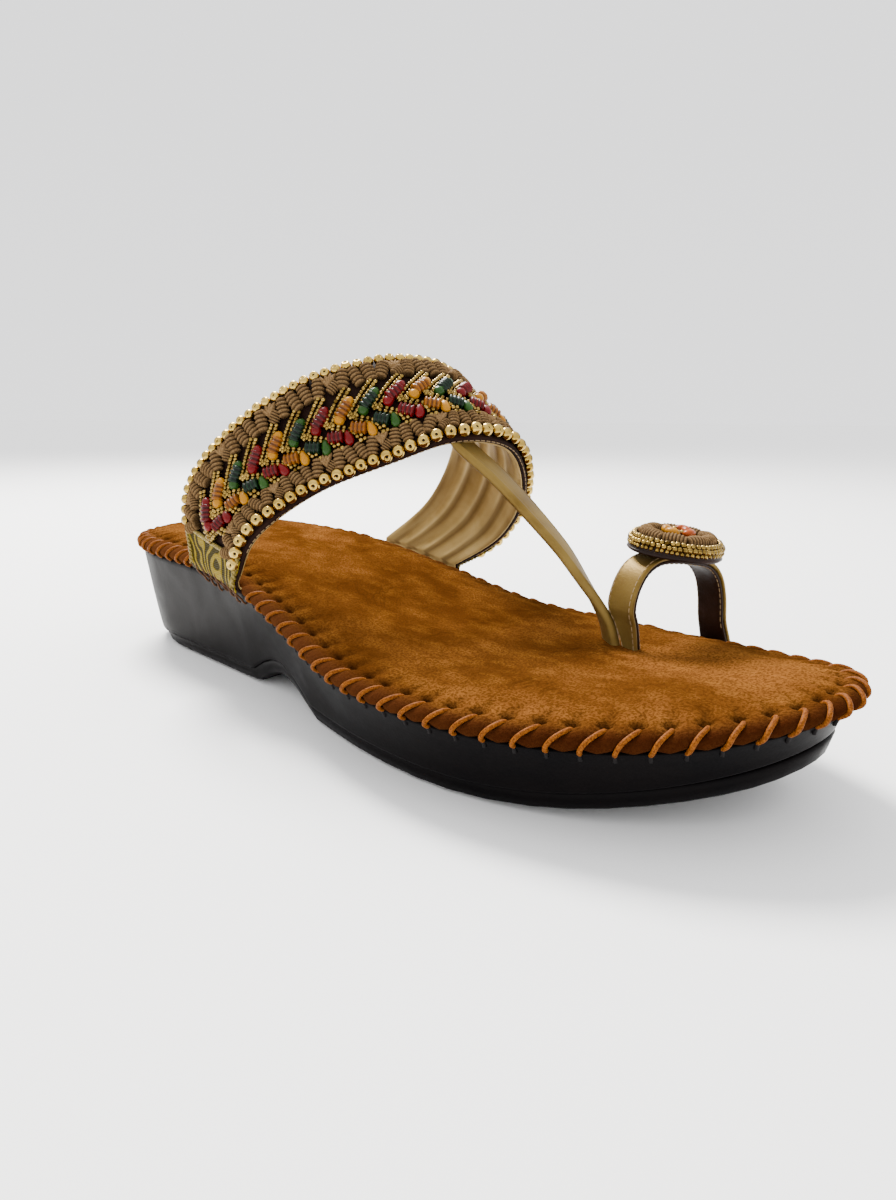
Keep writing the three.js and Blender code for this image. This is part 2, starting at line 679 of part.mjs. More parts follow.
function medalThread() {
  const outer = rimInner - GAP;
  const low = MEDAL_BASE + GAP;
  const shares = [[0, 0], [0.91, 0], [1, 0.5], [0.74, 0.9], [0.5, 1], [0.1, 0.8], [0, 0]];
  const profile = shares.map(([r, z]) => [lerp(threadInner, outer, r), low + MEDAL_THREAD * z]);
  const ring = lathe(profile, 6 * MEDAL_LOBES);
  const position = ring.attributes.position;
  for (let i = 0; i < position.count; i += 1) {
    const angle = Math.atan2(position.getY(i), position.getX(i));
    const lobe = 1 - 0.22 * Math.abs(Math.cos((angle * MEDAL_LOBES) / 2)) ** 6;
    position.setZ(i, low + (position.getZ(i) - low) * lobe);
  }
  return ring;
}

function medalCentre() {
  const r = threadInner - GAP;
  const low = MEDAL_BASE + GAP;
  const shares = [[0, 0], [1, 0], [0.9, 0.6], [0.5, 0.95], [0, 1]];
  return lathe(shares.map(([out, up]) => [r * out, low + MEDAL_CENTRE * up]), 20);
}

// Assembly
const sandal = new THREE.Group();

function add(parent, name, geometry, colour, roughness, metalness) {
  const material = new THREE.MeshStandardMaterial({ color: colour, roughness, metalness });
  const mesh = new THREE.Mesh(geometry, material);
  mesh.name = name;
  parent.add(mesh);
}

const eased = [bandSolid(GAP), thongSolid(GAP), ringSolid(GAP)];
add(sandal, 'outsole', outsole(), 0x1a1414, 0.6, 0);
add(sandal, 'midsole', midsole(), 0x241a18, 0.5, 0);
add(sandal, 'footbed', footbed(eased), 0x95561b, 0.95, 0);
add(sandal, 'upper', geometryOfSolid(bandSolid(0).add(thongSolid(0))), 0xa98d58, 0.45, 0.3);
add(sandal, 'toe_ring', geometryOfSolid(ringSolid(0)), 0xa98d58, 0.45, 0.3);
for (const row of STRIPS) add(sandal, row.name, strip(row), row.colour, 0.5, row.round ? 0.8 : 0);
add(sandal, 'brocade_tab_lateral', tab(-1), 0x6e6424, 0.6, 0.3);
add(sandal, 'brocade_tab_medial', tab(1), 0x6e6424, 0.6, 0.3);
add(medallion, 'medallion_base', medalBase(), 0x2a1c14, 0.7, 0);
add(medallion, 'medallion_bead_rim', medalRim(), 0xc9ad6a, 0.4, 0.8);
add(medallion, 'medallion_thread_ring', medalThread(), 0x9d8966, 0.8, 0);
add(medallion, 'medallion_centre', medalCentre(), 0xb9622a, 0.4, 0);
sandal.add(medallion);

// The origin is on the floor under the middle of the sandal.
const middle = new THREE.Box3().setFromObject(sandal).getCenter(new THREE.Vector3());
sandal.position.set(-middle.x, -middle.y, 0);

const part = new THREE.Group();
part.add(sandal);
part.updateMatrixWorld(true);

export default part;
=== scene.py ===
# A right slip-on sandal: a moulded wedge sole, a suede footbed with a whip-stitched rolled edge, a
# beaded instep band, a thong strap, and a leather toe ring with a beaded medallion.
import math
import random
import bpy
import numpy as np
from mathutils import Matrix, Vector


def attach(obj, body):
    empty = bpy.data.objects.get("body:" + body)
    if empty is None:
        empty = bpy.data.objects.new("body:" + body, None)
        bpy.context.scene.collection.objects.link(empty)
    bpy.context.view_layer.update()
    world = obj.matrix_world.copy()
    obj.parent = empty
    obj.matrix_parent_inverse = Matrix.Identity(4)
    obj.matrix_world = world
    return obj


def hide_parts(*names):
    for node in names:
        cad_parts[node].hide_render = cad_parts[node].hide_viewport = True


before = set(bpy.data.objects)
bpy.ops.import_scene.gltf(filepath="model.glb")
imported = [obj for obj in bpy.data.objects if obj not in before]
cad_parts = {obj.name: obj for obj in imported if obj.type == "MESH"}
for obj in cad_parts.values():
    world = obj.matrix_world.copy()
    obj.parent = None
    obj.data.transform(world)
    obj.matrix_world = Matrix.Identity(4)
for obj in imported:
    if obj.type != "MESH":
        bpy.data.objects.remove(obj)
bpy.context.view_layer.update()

# Camera. It stands low and close, in front of the sandal's outer side, a little tilted, as the
# photograph was taken.
CAMERA_AT = (0.1513, -0.15614, 0.0807)
CAMERA_TOWARDS = Vector((-0.6291, 0.7400, -0.2381))
CAMERA_TILT = math.radians(0.36)
bpy.ops.object.camera_add(location=CAMERA_AT)
camera = bpy.context.object
forward = CAMERA_TOWARDS.normalized()
level = forward.cross(Vector((0, 0, 1))).normalized()
right = level * math.cos(CAMERA_TILT) + level.cross(forward) * math.sin(CAMERA_TILT)
camera.rotation_euler = Matrix((right, right.cross(forward), -forward)).transposed().to_euler()
camera.data.lens = 22.647
camera.data.sensor_width = 36
camera.data.clip_start = 0.01
bpy.context.scene.camera = camera

# Stage. One wide pale matt sheet lies under an even pale sky, which is given by height.
SKY_TONES = ((0.0, 0.485), (0.12, 0.475), (0.3, 0.46), (0.55, 0.46), (1.0, 0.62))
bpy.ops.object.select_all(action="DESELECT")
bpy.ops.mesh.primitive_circle_add(vertices=128, radius=9, fill_type="TRIFAN", location=(0, 0, 0))
stage = bpy.context.object
stage.name = "paper_stage"
paper = bpy.data.materials.new("pale_paper")
paper.use_nodes = True
paper_shader = paper.node_tree.nodes["Principled BSDF"]
paper_shader.inputs["Base Color"].default_value = (0.9, 0.9, 0.895, 1)
paper_shader.inputs["Roughness"].default_value = 0.8
stage.data.materials.append(paper)

world = bpy.data.worlds.new("studio")
bpy.context.scene.world = world
world.use_nodes = True
sky = world.node_tree
ray = sky.nodes.new("ShaderNodeTexCoord")
height = sky.nodes.new("ShaderNodeSeparateXYZ")
sky.links.new(ray.outputs["Generated"], height.inputs["Vector"])
fade = sky.nodes.new("ShaderNodeValToRGB")
sky.links.new(height.outputs["Z"], fade.inputs["Fac"])
stops = fade.color_ramp.elements
for spot, tone in SKY_TONES:
    stop = stops[0] if spot == 0 else stops[-1] if spot == 1 else stops.new(spot)
    stop.color = (tone, tone, tone * 1.01, 1)
sky.links.new(fade.outputs["Color"], sky.nodes["Background"].inputs["Color"])
sky.nodes["Background"].inputs["Strength"].default_value = 4

# Lamp. One soft round lamp stands high behind the sandal, towards its inner side.
LAMP_AT = Vector((-0.55, 0.25, 0.85))
LAMP_AIM = Vector((0, 0, 0.02))
bpy.ops.object.light_add(type="AREA", location=LAMP_AT)
lamp = bpy.context.object
lamp.rotation_euler = (LAMP_AIM - LAMP_AT).to_track_quat("-Z", "Y").to_euler()
lamp.data.shape = "DISK"
lamp.data.size = 0.42
lamp.data.energy = 36
lamp.data.color = (1, 0.98, 0.95)

# Sole outline. The sole, the footbed's rolled edge and its stitches all follow this one line,
# where suede meets the dark sole, in millimetres.
MM = 0.001
SOLE_LENGTH = 243.8
BALL_WIDTH = 91.4
HEEL_WIDTH = 64.5
BALL_HEIGHT = 16.6
HEEL_RISE = 15.8
TOE_SPRING = 15.2
SPRING_START = 0.717
ARCH_REAR = 0.35
ARCH_FRONT = 0.502
ARCH_OUTER = 7
ARCH_INNER = 9.5
SHIFT_X = -121.9
SHIFT_Y = 1.159
ALONG = np.array((0, .015, .05, .12, .22, .35, .48, .6, .7, .79, .87, .935, .98, 1))
LATERAL = np.array((.04, .2, .338, .449, .486, .516, .518, .525, .535, .496, .42, .303, .162, -.03))
MEDIAL = np.array((-.04, .2, .358, .473, .522, .532, .468, .447, .465, .445, .39, .308, .212, .03))


def eased(value, low, high):
    share = np.clip((np.asarray(value, float) - low) / (high - low), 0, 1)
    return share * share * (3 - 2 * share)


def curve_through(at, value):
    at = np.asarray(at, float)
    value = np.asarray(value, float)
    slope = np.empty(len(at))
    slope[1:-1] = (value[2:] - value[:-2]) / (at[2:] - at[:-2])
    slope[0] = (value[1] - value[0]) / (at[1] - at[0])
    slope[-1] = (value[-1] - value[-2]) / (at[-1] - at[-2])

    def read(t):
        t = np.asarray(t, float)
        i = np.clip(np.searchsorted(at, t, side="right") - 1, 0, len(at) - 2)
        span = at[i + 1] - at[i]
        s = (t - at[i]) / span
        r = 1 - s
        inside = (value[i] * r * r * (1 + 2 * s) + value[i + 1] * s * s * (3 - 2 * s)
                  + span * s * r * (slope[i] * r - slope[i + 1] * s))
        before = value[0] + slope[0] * (t - at[0])
        after = value[-1] + slope[-1] * (t - at[-1])
        return np.where(t < at[0], before, np.where(t > at[-1], after, inside))

    return read


outline_turn = np.arccos(1 - 2 * ALONG)
outline_width = HEEL_WIDTH + (BALL_WIDTH - HEEL_WIDTH) * eased(ALONG, 0.3, 0.65)
lateral_edge = curve_through(outline_turn, -LATERAL * outline_width)
medial_edge = curve_through(outline_turn, MEDIAL * outline_width)
joint_heel = curve_through((0, .15, .3, .45, .6, .75, .9, 1), (1.07, 1.12, .98, .599, .104, 0, 0, 0))
joint_toe = curve_through((0, .15, .3, .45, .6, .75, .9, 1), (0, 0, 0, 0, 0, .003, .168, .411))


# The stitches pull the roll thinner in places, so the joint shows a little higher there.
thin_along = curve_through(
    (-122, -80, -54, -35, -20, 0, 15, 30, 40, 52, 65, 80, 92, 105, 115, 122),
    (0.8, 0.3, 1.1, 1.6, 1.1, 0.4, 0.3, 0.9, 1.4, 1.4, 1.2, 0.9, 0.9, 1.2, 1.8, 2.2))


def roll_thin(x):
    return thin_along(np.clip(x, -122, 122))


def joint_height(x):
    share = np.clip((np.asarray(x) - SHIFT_X) / SOLE_LENGTH, 0, 1)
    rise = HEEL_RISE * joint_heel(share) + TOE_SPRING * joint_toe(share)
    return BALL_HEIGHT + rise + roll_thin(x)


def edge_across(x, side):
    turn = np.arccos(1 - 2 * np.clip((np.asarray(x) - SHIFT_X) / SOLE_LENGTH, 0, 1))
    return np.where(np.asarray(side) < 0, lateral_edge(turn), medial_edge(turn)) + SHIFT_Y

# Distance run along a row of points, at each of them
def run_along(points):
    return np.concatenate(([0], np.cumsum(np.linalg.norm(np.diff(points, axis=0), axis=1))))


round_turn = np.linspace(0, 2 * math.pi, 6001)
half_turn = np.where(round_turn <= math.pi, round_turn, 2 * math.pi - round_turn)
round_x = SOLE_LENGTH * (1 - np.cos(half_turn)) / 2 + SHIFT_X
round_y = np.where(round_turn <= math.pi, lateral_edge(half_turn), medial_edge(half_turn)) + SHIFT_Y
round_arc = run_along(np.column_stack((round_x, round_y)))
ROUND = round_arc[-1]


# Point of the outline at a distance round it from the back of the heel by the outer side, moved
# in by inset.
def outline_point(arc, inset):
    arc = np.asarray(arc, float)
    wrapped = np.mod(arc, ROUND)
    x = np.interp(wrapped, round_arc, round_x)
    y = np.interp(wrapped, round_arc, round_y)
    ahead = np.mod(arc + 1.5, ROUND)
    behind = np.mod(arc - 1.5, ROUND)
    along_x = np.interp(ahead, round_arc, round_x) - np.interp(behind, round_arc, round_x)
    along_y = np.interp(ahead, round_arc, round_y) - np.interp(behind, round_arc, round_y)
    length = np.hypot(along_x, along_y)
    return x - inset * along_y / length, y + inset * along_x / length


# Share of the sole's width there, from the outer side to the inner one
def width_share(x, y):
    low = edge_across(x, -1)
    return np.clip((y - low) / (edge_across(x, 1) - low + 1e-6), 0, 1)


# Underside of the sole: flat heel and ball, a hollow arch between them and a rising toe
def under_height(x, y):
    share = (x - SHIFT_X) / SOLE_LENGTH
    spring = np.maximum(0, (share - SPRING_START) / (1 - SPRING_START))
    arch = np.clip((share - ARCH_REAR) / (ARCH_FRONT - ARCH_REAR), 0, 1)
    rise = ARCH_OUTER + (ARCH_INNER - ARCH_OUTER) * width_share(x, y)
    return TOE_SPRING * spring ** 2 + rise * np.sin(math.pi * arch)


# Point moved towards the sole's middle line by a share, where that line ends at rear and front
def towards_spine(x, y, share, rear, front):
    spine_x = np.clip(x, rear, front)
    spine_y = (edge_across(spine_x, -1) + edge_across(spine_x, 1)) / 2
    return x + (spine_x - x) * share, y + (spine_y - y) * share


# A sheet laid out as a grid and shaped by place(u, v), both from 0 to 1. Its UV map is in metres.
def laid_sheet(name, across, up, place, size=(1, 1), closed=False, capped=False):
    bpy.ops.object.select_all(action="DESELECT")
    bpy.ops.mesh.primitive_grid_add(x_subdivisions=across, y_subdivisions=up, size=2)
    piece = bpy.context.object
    piece.name = name
    mesh = piece.data
    corner = np.empty(len(mesh.vertices) * 3)
    mesh.vertices.foreach_get("co", corner)
    u = (corner[0::3] + 1) / 2
    v = (corner[1::3] + 1) / 2
    uv = np.empty(len(mesh.loops) * 2)
    mesh.uv_layers[0].data.foreach_get("uv", uv)
    uv[0::2] *= size[0]
    uv[1::2] *= size[1]
    mesh.uv_layers[0].data.foreach_set("uv", uv)
    x, y, z = place(u, v)
    mesh.vertices.foreach_set("co", (np.column_stack((x, y, z)) * MM).ravel())
    if closed or capped:
        bpy.ops.object.mode_set(mode="EDIT")
        bpy.ops.mesh.select_all(action="SELECT")
        bpy.ops.mesh.remove_doubles(threshold=1e-6)
        if capped:
            bpy.ops.mesh.select_all(action="DESELECT")
            bpy.ops.mesh.select_mode(type="VERT")
            bpy.ops.mesh.select_non_manifold()
            bpy.ops.mesh.fill_holes(sides=0)
        bpy.ops.mesh.select_all(action="SELECT")
        bpy.ops.mesh.normals_make_consistent(inside=False)
        bpy.ops.object.mode_set(mode="OBJECT")
    mesh.update()
    bpy.ops.object.shade_smooth()
    return piece


# The sheet's own u and v at each vertex, read back from its UV map
def sheet_uv(piece, size):
    mesh = piece.data
    uv = np.empty(len(mesh.loops) * 2)
    mesh.uv_layers[0].data.foreach_get("uv", uv)
    corner = np.empty(len(mesh.loops), int)
    mesh.loops.foreach_get("vertex_index", corner)
    u = np.zeros(len(mesh.vertices))
    v = np.zeros(len(mesh.vertices))
    u[corner] = uv[0::2] / size[0]
    v[corner] = uv[1::2] / size[1]
    return u, v


# A number kept at each vertex, which a finish reads by name
def mark(piece, name, values):
    layer = piece.data.attributes.new(name, "FLOAT", "POINT")
    layer.data.foreach_set("value", np.asarray(values, np.float32))


# A closed section read at a share of its rows. Each row is a place across and a height.
def along_table(table, share):
    table = np.asarray(table)
    rows = np.arange(len(table))
    index = share * (len(table) - 1)
    return np.interp(index, rows, table[:, 0]), np.interp(index, rows, table[:, 1])


def curve_in_space(at, points):
    reads = [curve_through(at, points[:, i]) for i in range(3)]
    return lambda place: np.stack([read(place) for read in reads], -1)


# Gives a finish, a body, a material slot and, where it stands for one, its solid to a piece.
def dress(piece, material, node=None):
    piece.data.materials.append(material)
    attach(piece, "root")
    if node is not None:
        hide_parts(node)


def pick_only(piece):
    bpy.ops.object.select_all(action="DESELECT")
    bpy.context.view_layer.objects.active = piece
    piece.select_set(True)


# Sets a socket to a plain value or joins another node's output to it.
def feed(tree, value, socket):
    if isinstance(value, bpy.types.NodeSocket):
        tree.links.new(value, socket)
    elif isinstance(value, tuple):
        socket.default_value = (*value, 1)
    else:
        socket.default_value = value


def math_node(tree, operation, *values):
    node = tree.nodes.new("ShaderNodeMath")
    node.operation = operation
    for socket, value in zip(node.inputs, values):
        feed(tree, value, socket)
    return node.outputs[0]


def noise(tree, vector, scale, detail, roughness=0.5, distortion=0.0):
    node = tree.nodes.new("ShaderNodeTexNoise")
    for label, value in (("Vector", vector), ("Scale", scale), ("Detail", detail),
                         ("Roughness", roughness), ("Distortion", distortion)):
        feed(tree, value, node.inputs[label])
    return node.outputs["Fac"]


# Grain, used by every finish: fine noise, and patches of noise twenty times as broad.
grain = bpy.data.node_groups.new("grain", "ShaderNodeTree")
for label, way, kind in (("Vector", "INPUT", "Vector"), ("Scale", "INPUT", "Float"),
                         ("Height", "OUTPUT", "Float"), ("Patches", "OUTPUT", "Float")):
    grain.interface.new_socket(name=label, in_out=way, socket_type="NodeSocket" + kind)
grain_in = grain.nodes.new("NodeGroupInput").outputs
grain_out = grain.nodes.new("NodeGroupOutput").inputs
fine = noise(grain, grain_in["Vector"], grain_in["Scale"], 3, roughness=0.6)
broad_scale = math_node(grain, "MULTIPLY", grain_in["Scale"], 0.05)
broad = noise(grain, grain_in["Vector"], broad_scale, 4, distortion=0.6)
grain.links.new(fine, grain_out["Height"])
grain.links.new(broad, grain_out["Patches"])


def new_finish(name, colour, roughness, metallic=0.0):
    material = bpy.data.materials.new(name)
    material.use_nodes = True
    tree = material.node_tree
    shader = tree.nodes["Principled BSDF"]
    shader.inputs["Base Color"].default_value = (*colour, 1)
    shader.inputs["Roughness"].default_value = roughness
    shader.inputs["Metallic"].default_value = metallic
    shader.inputs["IOR"].default_value = 1.3
    shader.inputs["Specular IOR Level"].default_value = 0.3
    return material, tree, shader


def object_place(tree):
    return tree.nodes.new("ShaderNodeTexCoord").outputs["Object"]


def grain_at(tree, scale):
    node = tree.nodes.new("ShaderNodeGroup")
    node.node_tree = grain
    tree.links.new(object_place(tree), node.inputs["Vector"])
    node.inputs["Scale"].default_value = scale
    return node


def marked(tree, name):
    node = tree.nodes.new("ShaderNodeAttribute")
    node.attribute_name = name
    return node.outputs["Fac"]


def blend_colours(tree, share, low, high):
    node = tree.nodes.new("ShaderNodeMix")
    node.data_type = "RGBA"
    for place, value in (("Factor", share), (6, low), (7, high)):
        feed(tree, value, node.inputs[place])
    return node.outputs[2]


def bump(tree, shader, height, distance, strength=1.0, under=None):
    node = tree.nodes.new("ShaderNodeBump")
    node.inputs["Distance"].default_value = distance
    node.inputs["Strength"].default_value = strength
    tree.links.new(height, node.inputs["Height"])
    if under is not None:
        tree.links.new(under, node.inputs["Normal"])
    tree.links.new(node.outputs["Normal"], shader.inputs["Normal"])
    return node.outputs["Normal"]


def remap(tree, value, low, high, to_low=0.0, to_high=1.0):
    node = tree.nodes.new("ShaderNodeMapRange")
    for label, number in (("Value", value), ("From Min", low), ("From Max", high),
                          ("To Min", to_low), ("To Max", to_high)):
        feed(tree, number, node.inputs[label])
    return node.outputs["Result"]


# Finish that follows one grain. tones are its dark and light colour, blended over span of the
# grain's output named by follow. rough is the roughness over the patches, relief a depth in metres.
def grained(name, colour, roughness, scale, tones=None, metallic=0.0, follow="Patches",
            span=(0.3, 0.7), rough=None, relief=None, strength=1.0, specular=None):
    material, tree, shader = new_finish(name, colour, roughness, metallic)
    node = grain_at(tree, scale)
    if tones is not None:
        tone = blend_colours(tree, remap(tree, node.outputs[follow], *span), *tones)
        tree.links.new(tone, shader.inputs["Base Color"])
    if rough is not None:
        uneven = remap(tree, node.outputs["Patches"], 0.3, 0.7, *rough)
        tree.links.new(uneven, shader.inputs["Roughness"])
    if relief is not None:
        bump(tree, shader, node.outputs["Height"], relief, strength)
    if specular is not None:
        shader.inputs["Specular IOR Level"].default_value = specular
    return material


# A twisted thread's colours change with each ply.
PLY = {"follow": "Height", "span": (0.35, 0.65)}

# Outsole and midsole. The dark sole unit is moulded in one colour: a thin tread layer with a lip
# round its rim, bonded under a foam wedge whose walls draw in towards the floor.
dark_sole, tree, shader = new_finish("dark_moulded_sole", (0.016, 0.012, 0.012), 0.4)
moulded = grain_at(tree, 1400)
tone = blend_colours(tree, remap(tree, moulded.outputs["Patches"], 0.3, 0.75),
                     (0.0012, 0.0010, 0.0013), (0.0030, 0.0022, 0.0022))
# Painted sheen: the sole is painted lighter and greyer towards the heel, standing in for the
# reflection along the heel's side.
heel_sheen_along = tree.nodes.new("ShaderNodeSeparateXYZ")
tree.links.new(object_place(tree), heel_sheen_along.inputs["Vector"])
tone = blend_colours(tree, remap(tree, heel_sheen_along.outputs["X"], 0.03, -0.1), tone,
                     (0.0028, 0.0020, 0.0019))
tree.links.new(tone, shader.inputs["Base Color"])
uneven = remap(tree, moulded.outputs["Patches"], 0.25, 0.8, 0.33, 0.5)
tree.links.new(uneven, shader.inputs["Roughness"])
bump(tree, shader, moulded.outputs["Height"], 0.00006, 0.5)
shader.inputs["Specular IOR Level"].default_value = 0.13
shader.inputs["IOR"].default_value = 1.22

# The tread is the solid's own mesh, with its toe drawn out a little, as the photograph shows it.
TOE_REACH = 2.0
TOE_BLEND = (85, 113)
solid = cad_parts["outsole"]
tread = solid.copy()
tread.data = solid.data.copy()
tread.parent = None
tread.name = "sole_tread"
bpy.context.collection.objects.link(tread)
pick_only(tread)
bpy.ops.object.mode_set(mode="EDIT")
bpy.ops.mesh.select_all(action="SELECT")
bpy.ops.mesh.remove_doubles(threshold=1e-6)
bpy.ops.object.mode_set(mode="OBJECT")
for vertex in tread.data.vertices:
    vertex.co.x += TOE_REACH * float(eased(vertex.co.x / MM, *TOE_BLEND)) * MM
bpy.ops.object.shade_smooth_by_angle(angle=math.radians(38))
tread.data.materials.clear()
dress(tread, dark_sole, "outsole")

# Wall of the wedge: its inset from the joint line at shares of the wall's height. The sheet's v is
# the underside up to WALL_FROM, the wall up to WALL_TO and the top after it.
WALL_INSET = curve_through((0, .05, .3, .65, .9, .97, 1.0), (5.1, 4.95, 4.1, 2.3, .75, .45, 1.2))
WALL_FROM = 0.2
WALL_TO = 0.8
TREAD_TOP = 4.8


def wedge_place(u, v):
    wall = np.clip((v - WALL_FROM) / (WALL_TO - WALL_FROM), 0, 1)
    inset = WALL_INSET(wall)
    x, _ = outline_point(u * ROUND, inset)
    steeper_toe = 0.33 * eased(x, *TOE_BLEND)
    steeper_heel = 0.45 * eased(-x, 75, 113) * (1 - 0.6 * (1 - wall) ** 3)
    x, y = outline_point(u * ROUND, inset * (1 - steeper_toe - steeper_heel))
    low = under_height(x, y) + TREAD_TOP
    z = low + (joint_height(x) - low) * wall
    inward = np.where(v < WALL_FROM, 1 - v / WALL_FROM,
                      np.where(v > WALL_TO, (v - WALL_TO) / (1 - WALL_TO), 0))
    x, y = towards_spine(x, y, inward, -84, 64)
    lid = np.where(v < WALL_FROM, under_height(x, y) + TREAD_TOP, joint_height(x))
    return x, y, np.where(inward > 0, lid, z)


wedge = laid_sheet("sole_wedge", 420, 40, wedge_place, (0.62, 0.08), closed=True)
dress(wedge, dark_sole, "midsole")

# Footbed. Suede is wrapped over soft foam and turned in at the edge, and a thick thread pulls the
# rolled edge down at each stitch, so that the suede puckers round every hole.
STITCH_PITCH = 6.566
FIRST_STITCH = 111.0
stitch_count = round(ROUND / STITCH_PITCH)
stitch_arc = FIRST_STITCH + np.arange(stitch_count) * ROUND / stitch_count
random.seed(4)
stitch_lean = np.array([4.4 + random.uniform(-0.4, 0.4) for _ in stitch_arc])

# Section of the rolled edge, as distance in from the joint line and height above it
ROLL_SECTION = np.array((
    (3.4, 0.3), (1.2, 0.3), (0.1, 0.35), (-0.7, 0.85), (-1.1, 1.7), (-0.95, 2.6), (-0.3, 3.5),
    (0.9, 4.3), (2.6, 5.0), (4.9, 5.7), (7.9, 6.45), (11.4, 7.1), (15.2, 7.55), (19.2, 7.7)))
section_arc = run_along(ROLL_SECTION)
section_end = section_arc[-1]
section_inset = curve_through(section_arc, ROLL_SECTION[:, 0])
section_rise = curve_through(section_arc, ROLL_SECTION[:, 1])
JOINT_ARC = section_arc[2]
HOLE_ARC = float(np.interp(3.2, ROLL_SECTION[5:, 0], section_arc[5:]))
ROLL_HEIGHT = 7.8


def gap_round(arc, start):
    return np.mod(arc - start + ROUND / 2, ROUND) - ROUND / 2


# Dip or rise with rounded sides: 1 in the middle, fading over width
def dome(distance, width):
    return np.exp(-(distance / width) ** 2)


# How deep the stitches pull the suede in, at a distance round the edge and up the rolled section,
# and how much painted shade the suede gets there, in the holes and creases
def pucker(arc, up):
    depth = np.zeros_like(arc)
    shade = np.zeros_like(arc)
    share = np.clip((up - JOINT_ARC) / (HOLE_ARC - JOINT_ARC), 0, 1)
    nearest = np.full_like(arc, 99.0)
    for start, lean in zip(stitch_arc, stitch_lean):
        gap = gap_round(arc, start)
        near = np.abs(gap) < 9
        if not near.any():
            continue
        off = gap[near] - lean * share[near]
        height = up[near]
        past = height - HOLE_ARC
        under_thread = eased(height, JOINT_ARC - 1, JOINT_ARC + 1)
        under_thread = under_thread * (1 - eased(height, HOLE_ARC, HOLE_ARC + 1.4))
        groove = 0.45 * dome(off, 0.95) * under_thread
        hole = 1.7 * dome(off + 0.2, 1.7) * dome(past - 0.2, 0.8)
        crease = 0.75 * dome(off - 0.3 * past, 1.1) * dome(past - 2.6, 2.8)
        depth[near] += groove + hole + crease
        hole_shade = 0.85 * dome(off + 0.2, 1.6) * dome(past - 0.3, 0.55)
        crease_shade = 0.36 * dome(off - 0.3 * past, 1.2) * dome(past - 1.8, 2.8)
        shade[near] = np.maximum(shade[near], np.maximum(hole_shade, crease_shade))
        nearest[near] = np.minimum(nearest[near], np.abs(off))
    between = np.clip(nearest / (STITCH_PITCH / 2), 0, 1) ** 1.5
    plump = 0.35 * between * np.sin(math.pi * np.clip(up / (HOLE_ARC + 3), 0, 1))
    return depth - plump, shade


def bed_dip(x, y):
    heel = 1 - eased((x - SHIFT_X) / SOLE_LENGTH, 0.286, 0.594)
    return 0.15 + 1.7 * heel * np.sin(math.pi * width_share(x, y)) ** 2


# The suede sheet's v is the underside up to ROLL_FROM, the roll up to ROLL_TO and the bed after it.
ROLL_FROM = 0.06
ROLL_TO = 0.68
BED_HEIGHT = 7.65
SECTION_STEP = 0.2
SUEDE_SIZE = (0.62, 0.06)


def up_section(v):
    return np.clip((v - ROLL_FROM) / (ROLL_TO - ROLL_FROM), 0, 1) * section_end


def suede_place(u, v):
    arc = u * ROUND
    up = up_section(v)
    depth, _ = pucker(arc, up)
    turn_in = section_inset(up + SECTION_STEP) - section_inset(up - SECTION_STEP)
    turn_up = section_rise(up + SECTION_STEP) - section_rise(up - SECTION_STEP)
    length = np.hypot(turn_in, turn_up)
    inset = section_inset(up) + depth * turn_up / length
    rise = section_rise(up) - depth * turn_in / length
    scallop = np.zeros_like(arc)
    for start in stitch_arc:
        gap = gap_round(arc, start)
        near = np.abs(gap) < STITCH_PITCH / 2
        scallop[near] = np.cos(math.pi * gap[near] / STITCH_PITCH)
    x, y = outline_point(arc, inset)
    rise = rise * (1 - roll_thin(x) / ROLL_HEIGHT)
    foot = (1 - eased(up, JOINT_ARC - 0.5, JOINT_ARC + 3.0)) * eased(up, 0.5, JOINT_ARC)
    rise = rise + (0.4 * scallop - 0.25) * foot
    inward = np.where(v < ROLL_FROM, 1 - v / ROLL_FROM,
                      np.where(v > ROLL_TO, (v - ROLL_TO) / (1 - ROLL_TO), 0))
    x2, y2 = towards_spine(x, y, inward, -80, 66)
    bed_fade = eased(up, section_arc[9], section_end)
    wave = 0.22 * np.sin(x2 * 0.11 + 1.3) * np.sin(y2 * 0.16 + 0.4)
    wave = wave + 0.12 * np.sin(x2 * 0.31 + y2 * 0.23)
    full = roll_thin(x2) - BED_HEIGHT
    bed = joint_height(x2) - full + (rise + full) * (1 - eased(inward, 0, 0.2))
    bed = bed + (wave - bed_dip(x2, y2)) * bed_fade
    roll = joint_height(x) + rise + (wave - bed_dip(x, y)) * bed_fade
    z = np.where(v < ROLL_FROM, joint_height(x2) + 0.3, np.where(v > ROLL_TO, bed, roll))
    return x2, y2, z


footbed = laid_sheet("footbed_suede", 900, 84, suede_place, SUEDE_SIZE, closed=True)
sheet_u, sheet_v = sheet_uv(footbed, SUEDE_SIZE)
sheet_up = up_section(sheet_v)
_, shade = pucker(sheet_u * ROUND, sheet_up)
# pucker: painted shade in the holes and creases, and half painted shade on the underside below the
# joint
mark(footbed, "pucker", np.where(sheet_up < JOINT_ARC, 0.5, shade))
# rim: how much painted shade the rolled edge's side gets, full near the joint and gone towards its
# top
mark(footbed, "rim", 1 - eased(section_rise(sheet_up), 3.4, 6.0))
